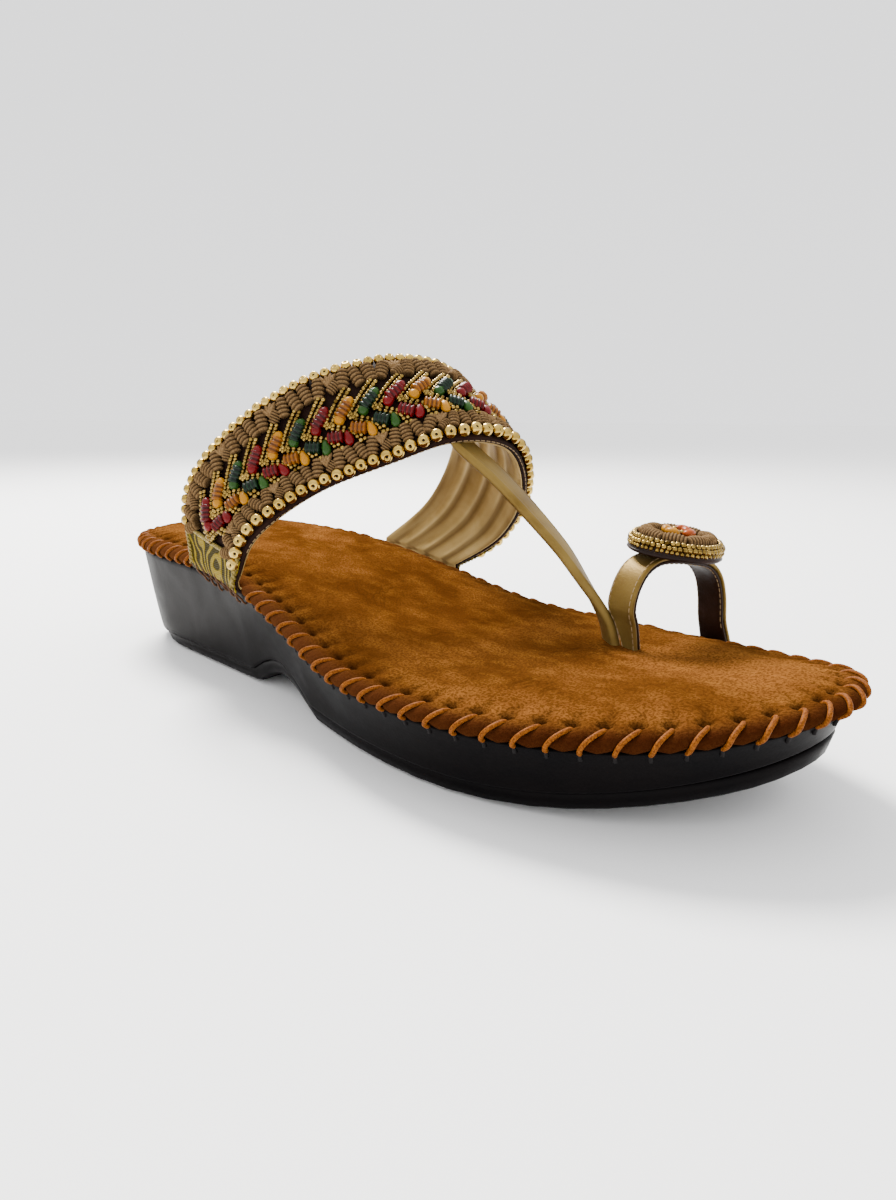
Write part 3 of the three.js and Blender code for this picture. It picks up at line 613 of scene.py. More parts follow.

# Suede: worn patches, broad clouds, brushed streaks, a painted shade over the waist, fold lines and
# a fine nap, then the rolled edge's side darkened by painted shade, and painted shade in its
# puckers.
suede, tree, shader = new_finish("tan_suede", (0.11, 0.04, 0.004), 0.92)
nap = grain_at(tree, 1700)
worn = grain_at(tree, 900)
where = object_place(tree)
brushed = tree.nodes.new("ShaderNodeMapping")
brushed.inputs["Scale"].default_value = (120, 190, 160)
brushed.inputs["Rotation"].default_value = (0, 0, 0.35)
tree.links.new(where, brushed.inputs["Vector"])
streak = noise(tree, brushed.outputs["Vector"], 1, 5)
cloud = noise(tree, where, 42, 4, 0.6, 0.8)
fold = noise(tree, where, 30, 3, distortion=1.6)
bed_place = tree.nodes.new("ShaderNodeSeparateXYZ")
tree.links.new(where, bed_place.inputs["Vector"])
bed_x = bed_place.outputs["X"]
# Painted shade over the waist, where the band's shadow and the bed's slope away from the lamp darken
# it.
waist_shade = math_node(tree, "MULTIPLY", remap(tree, bed_x, -0.055, -0.01),
                  remap(tree, bed_x, 0.062, 0.02))
waist_shade = math_node(tree, "MULTIPLY", waist_shade, remap(tree, streak, 0.3, 0.6, 0.80, 0.46))
fold_line = math_node(tree, "ABSOLUTE", math_node(tree, "SUBTRACT", fold, 0.5))
fold_line = remap(tree, fold_line, 0.012, 0.0)
fold_line = math_node(tree, "MULTIPLY", fold_line, remap(tree, cloud, 0.56, 0.42))
# Painted shade on the rolled edge's side, deeper towards the toe
rim_shade_tone = blend_colours(tree, remap(tree, bed_x, 0.07, 0.0),
                         (0.0235, 0.0054, 0.0018), (0.060, 0.0190, 0.0060))
mottle = blend_colours(tree, remap(tree, worn.outputs["Patches"], 0.35, 0.65),
                       (0.090, 0.0310, 0.0062), (0.165, 0.0610, 0.0135))
for share, tone in (
        (remap(tree, cloud, 0.6, 0.42, 0, 0.6), (0.052, 0.0155, 0.0026)),
        (remap(tree, streak, 0.46, 0.66, 0, 0.42), (0.220, 0.088, 0.0180)),
        (waist_shade, (0.046, 0.0140, 0.0022)),
        (math_node(tree, "MULTIPLY", fold_line, 0.55), (0.022, 0.006, 0.0008)),
        (remap(tree, nap.outputs["Height"], 0.45, 0.57, 0, 0.68), (0.040, 0.0125, 0.0018)),
        (math_node(tree, "MULTIPLY", marked(tree, "rim"), 0.92), rim_shade_tone),
        (math_node(tree, "MULTIPLY", marked(tree, "pucker"), 0.95), (0.007, 0.002, 0.0008))):
    mottle = blend_colours(tree, share, mottle, tone)
tree.links.new(mottle, shader.inputs["Base Color"])
normal = bump(tree, shader, worn.outputs["Height"], 0.00035, 0.35)
bump(tree, shader, nap.outputs["Height"], 0.00045, 1.0, under=normal)
shader.inputs["Sheen Weight"].default_value = 0.02
shader.inputs["Sheen Roughness"].default_value = 0.4
shader.inputs["Sheen Tint"].default_value = (0.9, 0.5, 0.15, 1)
shader.inputs["Specular IOR Level"].default_value = 0.0
dress(footbed, suede, "footbed")

# Whip stitches. One waxed thread runs round the sandal, over the rolled edge at each stitch, from
# a hole in the suede down into a pit in the sole's rim. Each row of its lay is a distance in from
# the joint line, a height above it and a share of the stitch's lean.
THREAD = 1.06
THREAD_LAY = (
    (0.5, -0.5, 0), (-0.2, -0.1, 0), (-1.1, 0.55, 0.05), (-1.55, 1.6, 0.18), (-1.4, 2.7, 0.35),
    (-0.8, 3.6, 0.54), (0.1, 4.25, 0.74), (1.1, 4.55, 0.9), (2.1, 4.35, 0.97), (2.9, 3.7, 1.0),
    (3.4, 2.6, 1.02))
# Where the straps' feet hide the edge: outer or inner side of the sole, from x to x
HIDDEN = ((-1, -58, -26), (1, -46, -8), (1, 68, 84))


def thread_object(name, paths, radius, material):
    data = bpy.data.curves.new(name, "CURVE")
    data.dimensions = "3D"
    data.bevel_depth = radius * MM
    data.bevel_resolution = 2
    data.resolution_u = 2
    data.use_fill_caps = True
    for path in paths:
        spline = data.splines.new("NURBS")
        spline.points.add(len(path) - 1)
        points = np.column_stack((np.array(path) * MM, np.ones(len(path))))
        spline.points.foreach_set("co", points.ravel())
        spline.use_endpoint_u = True
        spline.order_u = 4
    piece = bpy.data.objects.new(name, data)
    bpy.context.collection.objects.link(piece)
    pick_only(piece)
    bpy.ops.object.convert(target="MESH")
    piece = bpy.context.object
    bpy.ops.object.shade_smooth()
    dress(piece, material)


waxed = grained("rust_waxed_thread", (0.10, 0.03, 0.004), 0.5, 3000,
                ((0.070, 0.0165, 0.0008), (0.215, 0.066, 0.0070)), **PLY,
                relief=0.00012, strength=0.6, specular=0.12)
stitch_paths = []
for start, lean in zip(stitch_arc, stitch_lean):
    wrapped = float(np.mod(start, ROUND))
    side = -1 if wrapped < ROUND / 2 else 1
    x = float(outline_point(start, 0)[0])
    if any(side == hidden_side and low < x < high for hidden_side, low, high in HIDDEN):
        continue
    path = []
    bend = float(np.interp(min(wrapped, ROUND - wrapped), (130, 168, 222, 250),
                           (1.1, 1.0, 0.62, 0.36)))
    for inset, rise, share in THREAD_LAY:
        px, py = outline_point(start + lean * share ** (1 + 1.3 * (1 - bend)), inset)
        px = float(px)
        up = float(joint_height(px)) + rise * (1 - float(roll_thin(px)) / ROLL_HEIGHT)
        path.append((px, float(py), up))
    stitch_paths.append(path)
thread_object("whip_stitches", stitch_paths, THREAD / 2, waxed)

# Stitch pits: short near-black tubes set in the sole's wall below the joint, a painted shadow in the
# holes where the thread goes in.
pit_painted_shadow = grained("pit_shadow", (0.004, 0.003, 0.003), 0.7, 2000, relief=0.00005)
pit_paths = []
for start in stitch_arc:
    x, y = (float(value) for value in outline_point(start - 0.1, 0.35))
    x2, y2 = (float(value) for value in outline_point(start + 0.15, 0.95))
    z = float(joint_height(x))
    pit_paths.append(((x, y, z + 0.1), (x, y, z - 0.7), (x2, y2, z - 1.5), (x2, y2, z - 2.1)))
thread_object("stitch_pits", pit_paths, 0.42, pit_painted_shadow)

# Instep band. Gold leather lines a stiffener covered with a dark brown cloth that carries all the
# beadwork, and both ends are lasted in under the rolled edge. FOOT_OUT is how far the foot stands
# out from the sole's edge, and FOOT_UP its height over the joint line.
FOOT_OUT = 1.7
FOOT_UP = 4.2


# Lateral corner of the band at the rolled edge
def lateral_foot(x):
    return x, float(edge_across(x, -1)) - FOOT_OUT, float(joint_height(x)) + FOOT_UP


FRONT_EDGE = np.array((
    lateral_foot(-27.55), (-21.70, -32.43, 47.42), (-11.70, -18.95, 59.18), (3.41, -7.30, 67.08),
    (17.80, 3.90, 72.76), (22.67, 21.27, 70.05), (17.31, 35.75, 56.65), (5.12, 42.75, 42.20),
    (-11.21, 39.15, 30.08)))
REAR_EDGE = np.array((
    lateral_foot(-54.00), (-55.10, -30.37, 58.53), (-40.71, -24.25, 76.65), (-23.40, -12.64, 89.16),
    (-8.53, 5.27, 93.83), (-5.36, 25.38, 90.04), (-12.68, 38.18, 72.74), (-26.33, 42.29, 53.05),
    (-43.88, 37.66, 35.73)))
front_edge = curve_in_space(np.linspace(0, 1, 9), FRONT_EDGE)
rear_edge = curve_in_space(np.linspace(0, 1, 9), REAR_EDGE)
tuck_out = curve_through((0, .3, .45, 1), (FOOT_OUT, 1.3, .2, -7))
tuck_up = curve_through((0, .3, .45, 1), (FOOT_UP, 2.5, 1.9, 1.9))
FOOT_BLEND = 0.125


# Point of the band's inner face. u runs from the lateral foot to the medial one and past both as
# the tucked ends; v runs from the front edge to the rear one.
def band_lining(u, v):
    u, v = np.broadcast_arrays(np.asarray(u, float), np.asarray(v, float))
    held = np.clip(u, 0, 1)
    front = front_edge(held)
    side = np.where(u < 0.5, -1.0, 1.0)
    end = np.where(u < 0.5, 0, 8)
    foot = FRONT_EDGE[end] + (REAR_EDGE[end] - FRONT_EDGE[end]) * v[..., None]
    x = foot[..., 0]
    past = np.maximum(np.maximum(-u, u - 1), 0)
    edge = edge_across(x, side)
    joint = joint_height(x)
    tucked = np.stack((x, edge + side * tuck_out(past), joint + tuck_up(past)), -1)
    lasted = np.stack((x, edge + side * FOOT_OUT, joint + FOOT_UP), -1)
    fade = np.maximum(0, 1 - np.minimum(held, 1 - held) / FOOT_BLEND) ** 2
    point = front + (rear_edge(held) - front) * v[..., None] + (lasted - foot) * fade[..., None]
    return np.where((past > 0)[..., None], tucked, point)


# Point at a height over the band's inner face, with its direction along the band and outwards. The
# band is crowned in the middle, and all that lies on it is thinner at its feet.
def band_frame(u, v, height):
    step = 0.004
    along = band_lining(np.asarray(u) + step, v) - band_lining(np.asarray(u) - step, v)
    across = band_lining(u, np.asarray(v) + step) - band_lining(u, np.asarray(v) - step)
    along /= np.linalg.norm(along, axis=-1, keepdims=True)
    normal = np.cross(along, across)
    normal /= np.linalg.norm(normal, axis=-1, keepdims=True)
    u, v = np.broadcast_arrays(np.asarray(u, float), np.asarray(v, float))
    to_end = np.minimum(u, 1 - u)
    crown = 4 * v * (1 - v) * np.clip(to_end / FOOT_BLEND, 0, 1)
    squash = 1 - 0.42 * np.clip(1 - to_end / 0.1, 0, 1)
    point = band_lining(u, v) + normal * (np.clip(crown, 0, 1) + height * squash)[..., None]
    return point, along, normal


ARC_STEPS = np.linspace(0, 1, 801)


def band_arc(v):
    return run_along(band_frame(ARC_STEPS, np.full(801, v), np.full(801, 3.0))[0])


MIDDLE_ARC = band_arc(0.5)


def at_middle_arc(distance):
    return np.interp(distance, MIDDLE_ARC, ARC_STEPS)


# A strip of the band with a rounded section. section lists share across and share of the
# thickness, in order round the closed section.
def band_strap(name, u_from, u_to, section, thickness, base, size, steps=220, ripple=None):
    def place(s, t):
        u = u_from + (u_to - u_from) * s
        v, up = along_table(section, t)
        height = base + up * thickness
        if ripple is not None:
            height = height + ripple(u, v, up)
        return band_frame(u, v, height)[0].T

    return laid_sheet(name, steps, len(section) - 1, place, size, closed=True, capped=True)


def flat_section(low, high, edge, count):
    span = np.linspace(low + edge, high - edge, count)
    below = [(v, 0.0) for v in span]
    above = [(v, 1.0) for v in span[::-1]]
    right = [(high - edge * 0.3, 0.12), (high, 0.35), (high, 0.65), (high - edge * 0.3, 0.88)]
    left = [(low + edge * 0.3, 0.88), (low, 0.65), (low, 0.35), (low + edge * 0.3, 0.12)]
    return below + right + above + left + [below[0]]


gold_leather = grained("gold_leather", (0.13, 0.08, 0.02), 0.36, 1500,
                       ((0.115, 0.068, 0.014), (0.205, 0.135, 0.036)), 0.7,
                       rough=(0.42, 0.58), relief=0.0001, strength=0.6)


def fold_wave(u, v):
    return np.sin(v * 27 + 1.3 * np.sin(u * 13)) + 0.45 * np.sin(v * 49 + u * 9)


def lining_ripple(u, v, up):
    inner = np.clip(1 - up * 2, 0, 1)
    medial = eased(u, 0.58, 0.72) * (1 - eased(u, 0.97, 1.0))
    return inner * medial * 0.38 * fold_wave(u, v) * np.sin(math.pi * v) ** 0.5


# Lining and ground run past the band's feet by TUCKED at each end.
TUCKED = 0.4
BAND_SIZE = (0.2, 0.08)
LINING_SECTION = flat_section(0.012, 0.988, 0.02, 40)
lining = band_strap("band_lining", -TUCKED, 1 + TUCKED, LINING_SECTION, 1.0, 0.0, BAND_SIZE,
                    420, lining_ripple)
sheet_u, sheet_v = sheet_uv(lining, BAND_SIZE)
lining_u = -TUCKED + (1 + 2 * TUCKED) * sheet_u
lining_v, _ = along_table(LINING_SECTION, sheet_v)
# fold: the lining's folds, whose valleys get painted shade in the finish
folded = 0.45 * fold_wave(lining_u, lining_v) * eased(lining_u, 0.55, 0.7)
mark(lining, "fold", np.clip(0.5 + folded, 0, 1))
gold_lining, tree, shader = new_finish("gold_lining_leather", (0.19, 0.12, 0.03), 0.5, 0.3)
hide = grain_at(tree, 1500)
tone = blend_colours(tree, remap(tree, hide.outputs["Patches"], 0.3, 0.7),
                     (0.30, 0.195, 0.060), (0.46, 0.325, 0.125))
# Painted shade in the valleys of the folds
tone = blend_colours(tree, remap(tree, marked(tree, "fold"), 0.1, 0.7, 0.7, 0), tone,
                     (0.10, 0.055, 0.014))
tree.links.new(tone, shader.inputs["Base Color"])
bump(tree, shader, hide.outputs["Height"], 0.0001, 0.6)
dress(lining, gold_lining, "upper")

brown_cloth = grained("dark_brown_cloth", (0.01, 0.004, 0.003), 0.7, 2200,
                      ((0.006, 0.0022, 0.0016), (0.018, 0.0075, 0.0048)),
                      relief=0.00012, strength=0.7, specular=0.15)
GROUND_SECTION = flat_section(-0.004, 1.004, 0.02, 10)
ground = band_strap("band_ground", -TUCKED, 1 + TUCKED, GROUND_SECTION, 1.75, 0.75, BAND_SIZE)
dress(ground, brown_cloth)

# Small stitches along the band's front edge
cream_thread = grained("cream_thread", (0.24, 0.165, 0.085), 0.65, 3000, relief=0.0001,
                       strength=0.5)
DASH_PITCH = 1.9
edge_arc = band_arc(0.0)
dash_paths = []
for k in range(int(edge_arc[-1] / DASH_PITCH)):
    start = k * DASH_PITCH
    if 0.055 * edge_arc[-1] < start < 0.95 * edge_arc[-1]:
        u = np.interp([start + gap for gap in (0.1, 0.5, 1.0, 1.4)], edge_arc, ARC_STEPS)
        dash_paths.append(band_frame(u, np.full(4, -0.0075), np.full(4, 1.6))[0])
thread_object("band_edge_stitches", dash_paths, 0.13, cream_thread)


# Beads and knots. Each kind is modelled once at the origin, lying along X with its top towards Z,
# and its copies are set on the band at a share along it, a share across it and a turn.
def seed_object(name, make, material):
    bpy.ops.object.select_all(action="DESELECT")
    make()
    seed = bpy.context.object
    seed.name = name
    bpy.ops.object.shade_smooth()
    seed.data.materials.append(material)
    return seed


def set_copies(name, seed, places, node=None):
    source = seed.data
    points = np.empty(len(source.vertices) * 3)
    source.vertices.foreach_get("co", points)
    points = points.reshape(-1, 3)
    faces = [tuple(polygon.vertices) for polygon in source.polygons]
    all_points = []
    all_faces = []
    for matrix in places:
        turned = np.array(matrix.to_3x3())
        start = len(all_points) * len(points)
        all_points.append(points @ turned.T + np.array(matrix.translation))
        all_faces.extend(tuple(index + start for index in face) for face in faces)
    mesh = bpy.data.meshes.new(name)
    mesh.from_pydata(np.concatenate(all_points).tolist(), [], all_faces)
    for material in source.materials:
        mesh.materials.append(material)
    mesh.polygons.foreach_set("use_smooth", [True] * len(mesh.polygons))
    if "ridge" in source.attributes:
        ridges = np.empty(len(source.vertices), np.float32)
        source.attributes["ridge"].data.foreach_get("value", ridges)
        ridges = np.tile(ridges, len(places))
    which = [polygon.material_index for polygon in source.polygons] * len(places)
    mesh.polygons.foreach_set("material_index", which)
    piece = bpy.data.objects.new(name, mesh)
    if "ridge" in source.attributes:
        mark(piece, "ridge", ridges)
    bpy.context.collection.objects.link(piece)
    bpy.data.objects.remove(seed, do_unlink=True)
    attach(piece, "root")
    if node is not None:
        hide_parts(node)


def on_band(u, v, height, turn=0.0, scale=(1, 1, 1), roll=0.0):
    point, along, normal = band_frame(np.array([u]), np.array([v]), np.array([height]))
    x = Vector(along[0])
    z = Vector(normal[0])
    basis = Matrix((x, z.cross(x), z)).transposed().to_4x4()
    spin = Matrix.Rotation(turn, 4, "Z") @ Matrix.Rotation(roll, 4, "X")
    return Matrix.Translation(Vector(point[0]) * MM) @ basis @ spin @ Matrix.Diagonal((*scale, 1))


# Shares along the band at even steps of about pitch, where v is the share across
def even_steps(v, u_from, u_to, pitch):
    line = band_arc(v)
    first, last = np.interp((u_from, u_to), ARC_STEPS, line)
    count = int(round((last - first) / pitch))
    runs = first + (last - first) * np.arange(count + 1) / count
    return [float(u) for u in np.interp(runs, line, ARC_STEPS)]


# Gold edge beads. Plated round beads, each sewn down through its bore, so that a dark hole looks
# outwards. Shares of the radius say where the bore's faces and edge start and how deep it is.
gold_plate = grained("gold_plated_bead", (0.42, 0.30, 0.11), 0.18, 900,
                     ((0.29, 0.18, 0.030), (0.56, 0.385, 0.095)), 1.0, rough=(0.14, 0.3))
# The bore's faces are painted near black: a painted shade inside the hole.
bore_painted_shade = grained("bead_bore", (0.012, 0.006, 0.002), 0.6, 3000, metallic=0.2, relief=0.00003)
BORE_FACES = 0.96
BORE_EDGE = 0.97
BORE_FLOOR = 0.55


def drilled_bead(radius):
    def make():
        bpy.ops.mesh.primitive_uv_sphere_add(segments=14, ring_count=14, radius=radius * MM)
        bead = bpy.context.object.data
        bead.materials.append(gold_plate)
        bead.materials.append(bore_painted_shade)
        for polygon in bead.polygons:
            if polygon.center.z > BORE_FACES * radius * MM:
                polygon.material_index = 1
        for vertex in bead.vertices:
            if vertex.co.z > BORE_EDGE * radius * MM:
                vertex.co.z = BORE_FLOOR * radius * MM
    return make


def edge_beads(name, node, v, height, pitch, radius, u_from, u_to, roll):
    places = []
    for u in even_steps(v, u_from, u_to, pitch):
        spot = (u, v + random.uniform(-0.004, 0.004), height + random.uniform(-0.12, 0.12))
        turn = random.uniform(-0.3, 0.3)
        places.append(on_band(*spot, turn, (1, 1, 0.95), random.uniform(-0.25, 0.25) + roll))
    seed = seed_object("bead", drilled_bead(radius), gold_plate)
    set_copies(name, seed, places, node)


edge_beads("front_edge_beads", "bead_edge_front", 0.040, 4.15, 3.6, 1.84, 0.045, 0.942, 0.55)
edge_beads("rear_edge_beads", "bead_edge_rear", 0.962, 3.8, 3.05, 1.55, 0.07, 0.91, -0.3)

# Thread coils. Taupe cord is wrapped into small ridged barrels and split petals, sewn side by side
# between the edge beads and the beadwork.
taupe, tree, shader = new_finish("taupe_wrapped_thread", (0.12, 0.08, 0.04), 0.7)
strands = grain_at(tree, 2600)
thread_tone = blend_colours(tree, remap(tree, strands.outputs["Height"], 0.35, 0.65),
                            (0.105, 0.056, 0.020), (0.225, 0.138, 0.062))
# Painted shade: the valleys between the wraps and the barrels' ends are darkened where the ridge
# mark is low.
thread_tone = blend_colours(tree, marked(tree, "ridge"), (0.016, 0.0075, 0.0025), thread_tone)
tree.links.new(thread_tone, shader.inputs["Base Color"])
bump(tree, shader, strands.outputs["Height"], 0.00012, 0.7)
shader.inputs["Specular IOR Level"].default_value = 0.05


# A barrel of wraps along X, with a soft belly and one ridge for each wrap
WRAP_ROWS = 4
END_SHRINK = 0.72


def ridged_barrel(length, width, height, wraps, groove=0.2, belly=0.25):
    def make():
        rows = wraps * WRAP_ROWS
        bpy.ops.mesh.primitive_cylinder_add(vertices=10, radius=1, depth=1, end_fill_type="TRIFAN")
        barrel = bpy.context.object
        bpy.ops.object.mode_set(mode="EDIT")
        for k in range(1, rows):
            bpy.ops.mesh.select_all(action="SELECT")
            bpy.ops.mesh.bisect(plane_co=(0, 0, -0.5 + k / rows), plane_no=(0, 0, 1))
        bpy.ops.object.mode_set(mode="OBJECT")
        ridges = []
        for vertex in barrel.data.vertices:
            share = vertex.co.z + 0.5
            is_end = share < 0.001 or share > 0.999
            valley = abs(math.cos(math.pi * ((share * wraps) % 1.0)))
            # ridge is low in the valleys between wraps and at the ends, where the finishes paint
            # shade.
            ridges.append(0.2 if is_end else 1 - valley ** 2.2)
            girth = (1 - groove * valley ** 1.5) * (1 - belly * abs(2 * share - 1) ** 2.5)
            if is_end:
                girth *= END_SHRINK
            y = vertex.co.y * girth * width / 2
            z = -vertex.co.x * girth * height / 2
            vertex.co = Vector(((share - 0.5) * length, y, z)) * MM
        mark(barrel, "ridge", ridges)
        bpy.ops.object.mode_set(mode="EDIT")
        bpy.ops.mesh.select_all(action="SELECT")
        bpy.ops.mesh.normals_make_consistent(inside=False)
        bpy.ops.object.mode_set(mode="OBJECT")
    return make


# A petal or a plain bead, thicker at one end
def leaf(length, width, height):
    def make():
        bpy.ops.mesh.primitive_uv_sphere_add(segments=8, ring_count=6, radius=1,
                                             rotation=(0, math.pi / 2, 0))
        petal = bpy.context.object
        bpy.ops.object.transform_apply(location=False, rotation=True, scale=False)
        for vertex in petal.data.vertices:
            x, y, z = vertex.co
            vertex.co = Vector((x * length / 2, y * width / 2 * (1 - 0.3 * x), z * height / 2)) * MM
        mark(petal, "ridge", np.ones(len(petal.data.vertices)))
    return make


# Each fifth place in a row of coils holds a short barrel with a fan of four petals.
COIL_LEANS = (0.25, -0.3, 0.5, -0.1, 0.15)
PETALS = ((0.75, 0.010), (1.2, 0.005), (1.65, 0.0), (2.1, -0.006))


def coil_row(name, node, middle, u_from, u_to, pitch, size):
    lift = 2.6 + 1.0 * size
    barrels = []
    petals = []
    for k, u in enumerate(even_steps(middle, u_from, u_to, pitch)):
        lean = COIL_LEANS[k % 5] + random.uniform(-0.15, 0.15)
        if k % 5 == 2:
            short = (size * 0.62, size * 0.85, size)
            barrels.append(on_band(u, middle - 0.042, lift, math.pi / 2 - 0.9, short))
            for turn, off in PETALS:
                spot = (u + off * 0.6, middle + 0.035, lift + 0.1)
                petals.append(on_band(*spot, turn, (size, size, size)))
        else:
            spot = (u, middle + random.uniform(-0.006, 0.006), lift + random.uniform(-0.15, 0.2))
            scale = (size * random.uniform(0.94, 1.06), size * random.uniform(0.94, 1.08), size)
            barrels.append(on_band(*spot, math.pi / 2 + lean, scale))
    seed = seed_object("barrel", ridged_barrel(5.3, 3.5, 3.0, 5, groove=0.26), taupe)
    set_copies(name, seed, barrels, node)
    seed = seed_object("petal", leaf(4.0, 1.35, 2.0), taupe)
    set_copies(name + "_petals", seed, petals)


coil_row("front_thread_coils", "thread_border_front", 0.168, 0.062, 0.925, 3.25, 1.04)
coil_row("rear_thread_coils", "thread_border_rear", 0.83, 0.066, 0.915, 3.7, 1.16)

# Beadwork. Double rows of tiny gold seed beads make a line of chevrons along the band, and each
# channel between them holds glass beads of one colour: red, then amber, then green.
seed_gold = grained("gold_seed_bead", (0.34, 0.23, 0.08), 0.25, 9000,
                    ((0.062, 0.034, 0.005), (0.38, 0.25, 0.060)), 0.95)


def glass_bead(name, dark, light):
    material, tree, shader = new_finish(name, light, 0.16)
    swirl = grain_at(tree, 700)
    tone = blend_colours(tree, remap(tree, swirl.outputs["Patches"], 0.3, 0.7), dark, light)
    # Painted shade between the ribs of ribbed beads, where the ridge mark is low.
    between = tuple(value * 0.3 for value in dark)
    tone = blend_colours(tree, marked(tree, "ridge"), between, tone)
    tree.links.new(tone, shader.inputs["Base Color"])
    gloss = remap(tree, swirl.outputs["Height"], 0.3, 0.7, 0.22, 0.42)
    tree.links.new(gloss, shader.inputs["Roughness"])
    shader.inputs["Coat Weight"].default_value = 0.06
    shader.inputs["Coat Roughness"].default_value = 0.08
    return material


GLASS = (glass_bead("red_glass", (0.055, 0.0001, 0.0006), (0.150, 0.0006, 0.0020)),
         glass_bead("amber_glass", (0.15, 0.038, 0.0004), (0.30, 0.105, 0.0018)),
         glass_bead("green_glass", (0.0007, 0.006, 0.0022), (0.0040, 0.023, 0.0060)))
OVAL = (GLASS[0],
        glass_bead("yellow_glass", (0.27, 0.100, 0.0005), (0.39, 0.168, 0.0018)),
        glass_bead("leaf_green_glass", (0.007, 0.032, 0.0035), (0.020, 0.062, 0.0062)))

# Millimetres across the band that v is counted over, and the chevrons' arms. Each arm runs from one
# point to another, given by distance past the chevron's apex and share across.
BAND_WIDTH = 34
CHEVRON_PITCH = 7.1
CHEVRON_START = 8.6
CHEVRONS = 22
APEX_AT = 0.475
ARMS = (((0, APEX_AT), (4.8, 0.335)), ((0, APEX_AT), (11.2, 0.725)), ((4.8, 0.33), (4.9, 0.245)))
SEED_STEP = 1.32
SEED_SIDE = 0.66
CHANNEL_SLOPE = math.atan2((0.712 - APEX_AT) * BAND_WIDTH, 10.6)


def seed_ball():
    bpy.ops.mesh.primitive_uv_sphere_add(segments=7, ring_count=5, radius=0.68 * MM)


def line_on_band(start, end, step):
    span = np.subtract(end, start)
    count = max(2, int(round(math.hypot(span[0], span[1] * BAND_WIDTH) / step)))
    return [(start[0] + span[0] * k / count, start[1] + span[1] * k / count)
            for k in range(count + 1)]


seeds = []
strings = [[], [], []]
ovals = [[], [], []]
rounds = [[], [], []]
cord_paths = []
for k in range(CHEVRONS + 1):
    apex = CHEVRON_START + CHEVRON_PITCH * k
    colour = k % 3
    for arm_start, arm_end in ARMS:
        start = (apex + arm_start[0], arm_start[1])
        end = (apex + arm_end[0], arm_end[1])
        turn = math.atan2((end[1] - start[1]) * BAND_WIDTH, end[0] - start[0])
        cord = []
        for s, v in line_on_band(start, end, SEED_STEP):
            if s > MIDDLE_ARC[-1] - 13:
                continue
            for side in (-SEED_SIDE, SEED_SIDE):
                u = float(at_middle_arc(s - side * math.sin(turn)))
                lift = 4.0 + random.uniform(-0.1, 0.15)
                size = 1 if random.random() < 0.85 else 1.15
                across = v + side * math.cos(turn) / BAND_WIDTH
                seeds.append(on_band(u, across, lift, 0, (size, size, size)))
            cord.append(band_frame(at_middle_arc([s]), np.array([v]), np.array([3.2]))[0][0])
        if len(cord) > 2:
            cord_paths.append(cord)
    if k == CHEVRONS or apex + 11 > MIDDLE_ARC[-1] - 12:
        continue
    for shift, kind in ((0.0, "round"), (3.4, "string"), (6.7, "round")):
        u = float(at_middle_arc(apex + 4.0 + shift * math.cos(CHANNEL_SLOPE)))
        v = 0.485 + shift * math.sin(CHANNEL_SLOPE) / BAND_WIDTH
        if kind == "round":
            turn = CHANNEL_SLOPE + random.uniform(-0.3, 0.3)
            rounds[colour].append(on_band(u, v, 4.2, turn, (1.1, 1.1, 1.1)))
        else:
            turn = CHANNEL_SLOPE + random.uniform(-0.12, 0.12)
            strings[colour].append(on_band(u, v, 4.35, turn, (1.14, 1.24, 1.22)))
    u = float(at_middle_arc(apex + 6.4))
    turn = -0.35 + random.uniform(-0.15, 0.15)
    strings[colour].append(on_band(u, 0.352, 4.15, turn, (1.0, 1.22, 1.18)))
    u = float(at_middle_arc(apex + 9.2))
    ovals[colour].append(on_band(u, 0.305, 4.2, math.pi / 2 + random.uniform(-0.25, 0.25)))

seed = seed_object("seed", seed_ball, seed_gold)
set_copies("gold_seed_rows", seed, seeds, "beadwork_panel")
thread_object("chevron_cords", cord_paths, 0.62, brown_cloth)
for colour, label in enumerate(("red", "amber", "green")):
    ribbed = ridged_barrel(4.7, 3.3, 3.1, 4, groove=0.28, belly=0.12)
    for kind, make, glass, places in (("ribbed", ribbed, GLASS, strings),
                                      ("oval", leaf(4.6, 2.7, 2.5), OVAL, ovals),
                                      ("round", leaf(3.0, 2.9, 2.7), OVAL, rounds)):
        seed = seed_object(kind, make, glass[colour])
        set_copies(label + "_" + kind + "_beads", seed, places[colour])

# Brocade tabs. A woven olive and gold cloth is wrapped over each end of the band and lasted under
# with it. A twisted gold cord runs along its edges, and long stitches tie the foot down.
brocade, tree, shader = new_finish("olive_gold_brocade", (0.06, 0.05, 0.01), 0.5, 0.2)


def wave(direction, settings):
    node = tree.nodes.new("ShaderNodeTexWave")
    node.bands_direction = direction
    for label, value in settings.items():
        node.inputs[label].default_value = value
    tree.links.new(object_place(tree), node.inputs["Vector"])
    return node.outputs["Fac"]


leafing = wave("X", {"Scale": 85, "Distortion": 15, "Detail": 1, "Detail Scale": 1.2})
weft = wave("Z", {"Scale": 520, "Distortion": 0.6})
figure = remap(tree, leafing, 0.5, 0.8)
tone = blend_colours(tree, figure, (0.026, 0.019, 0.0006), (0.18, 0.125, 0.007))
tree.links.new(tone, shader.inputs["Base Color"])
tree.links.new(remap(tree, leafing, 0.62, 0.8, 0.0, 0.15), shader.inputs["Metallic"])
shader.inputs["Specular IOR Level"].default_value = 0.05
raised = math_node(tree, "ADD", math_node(tree, "MULTIPLY", weft, 0.4), figure)
bump(tree, shader, raised, 0.00025, 0.8)

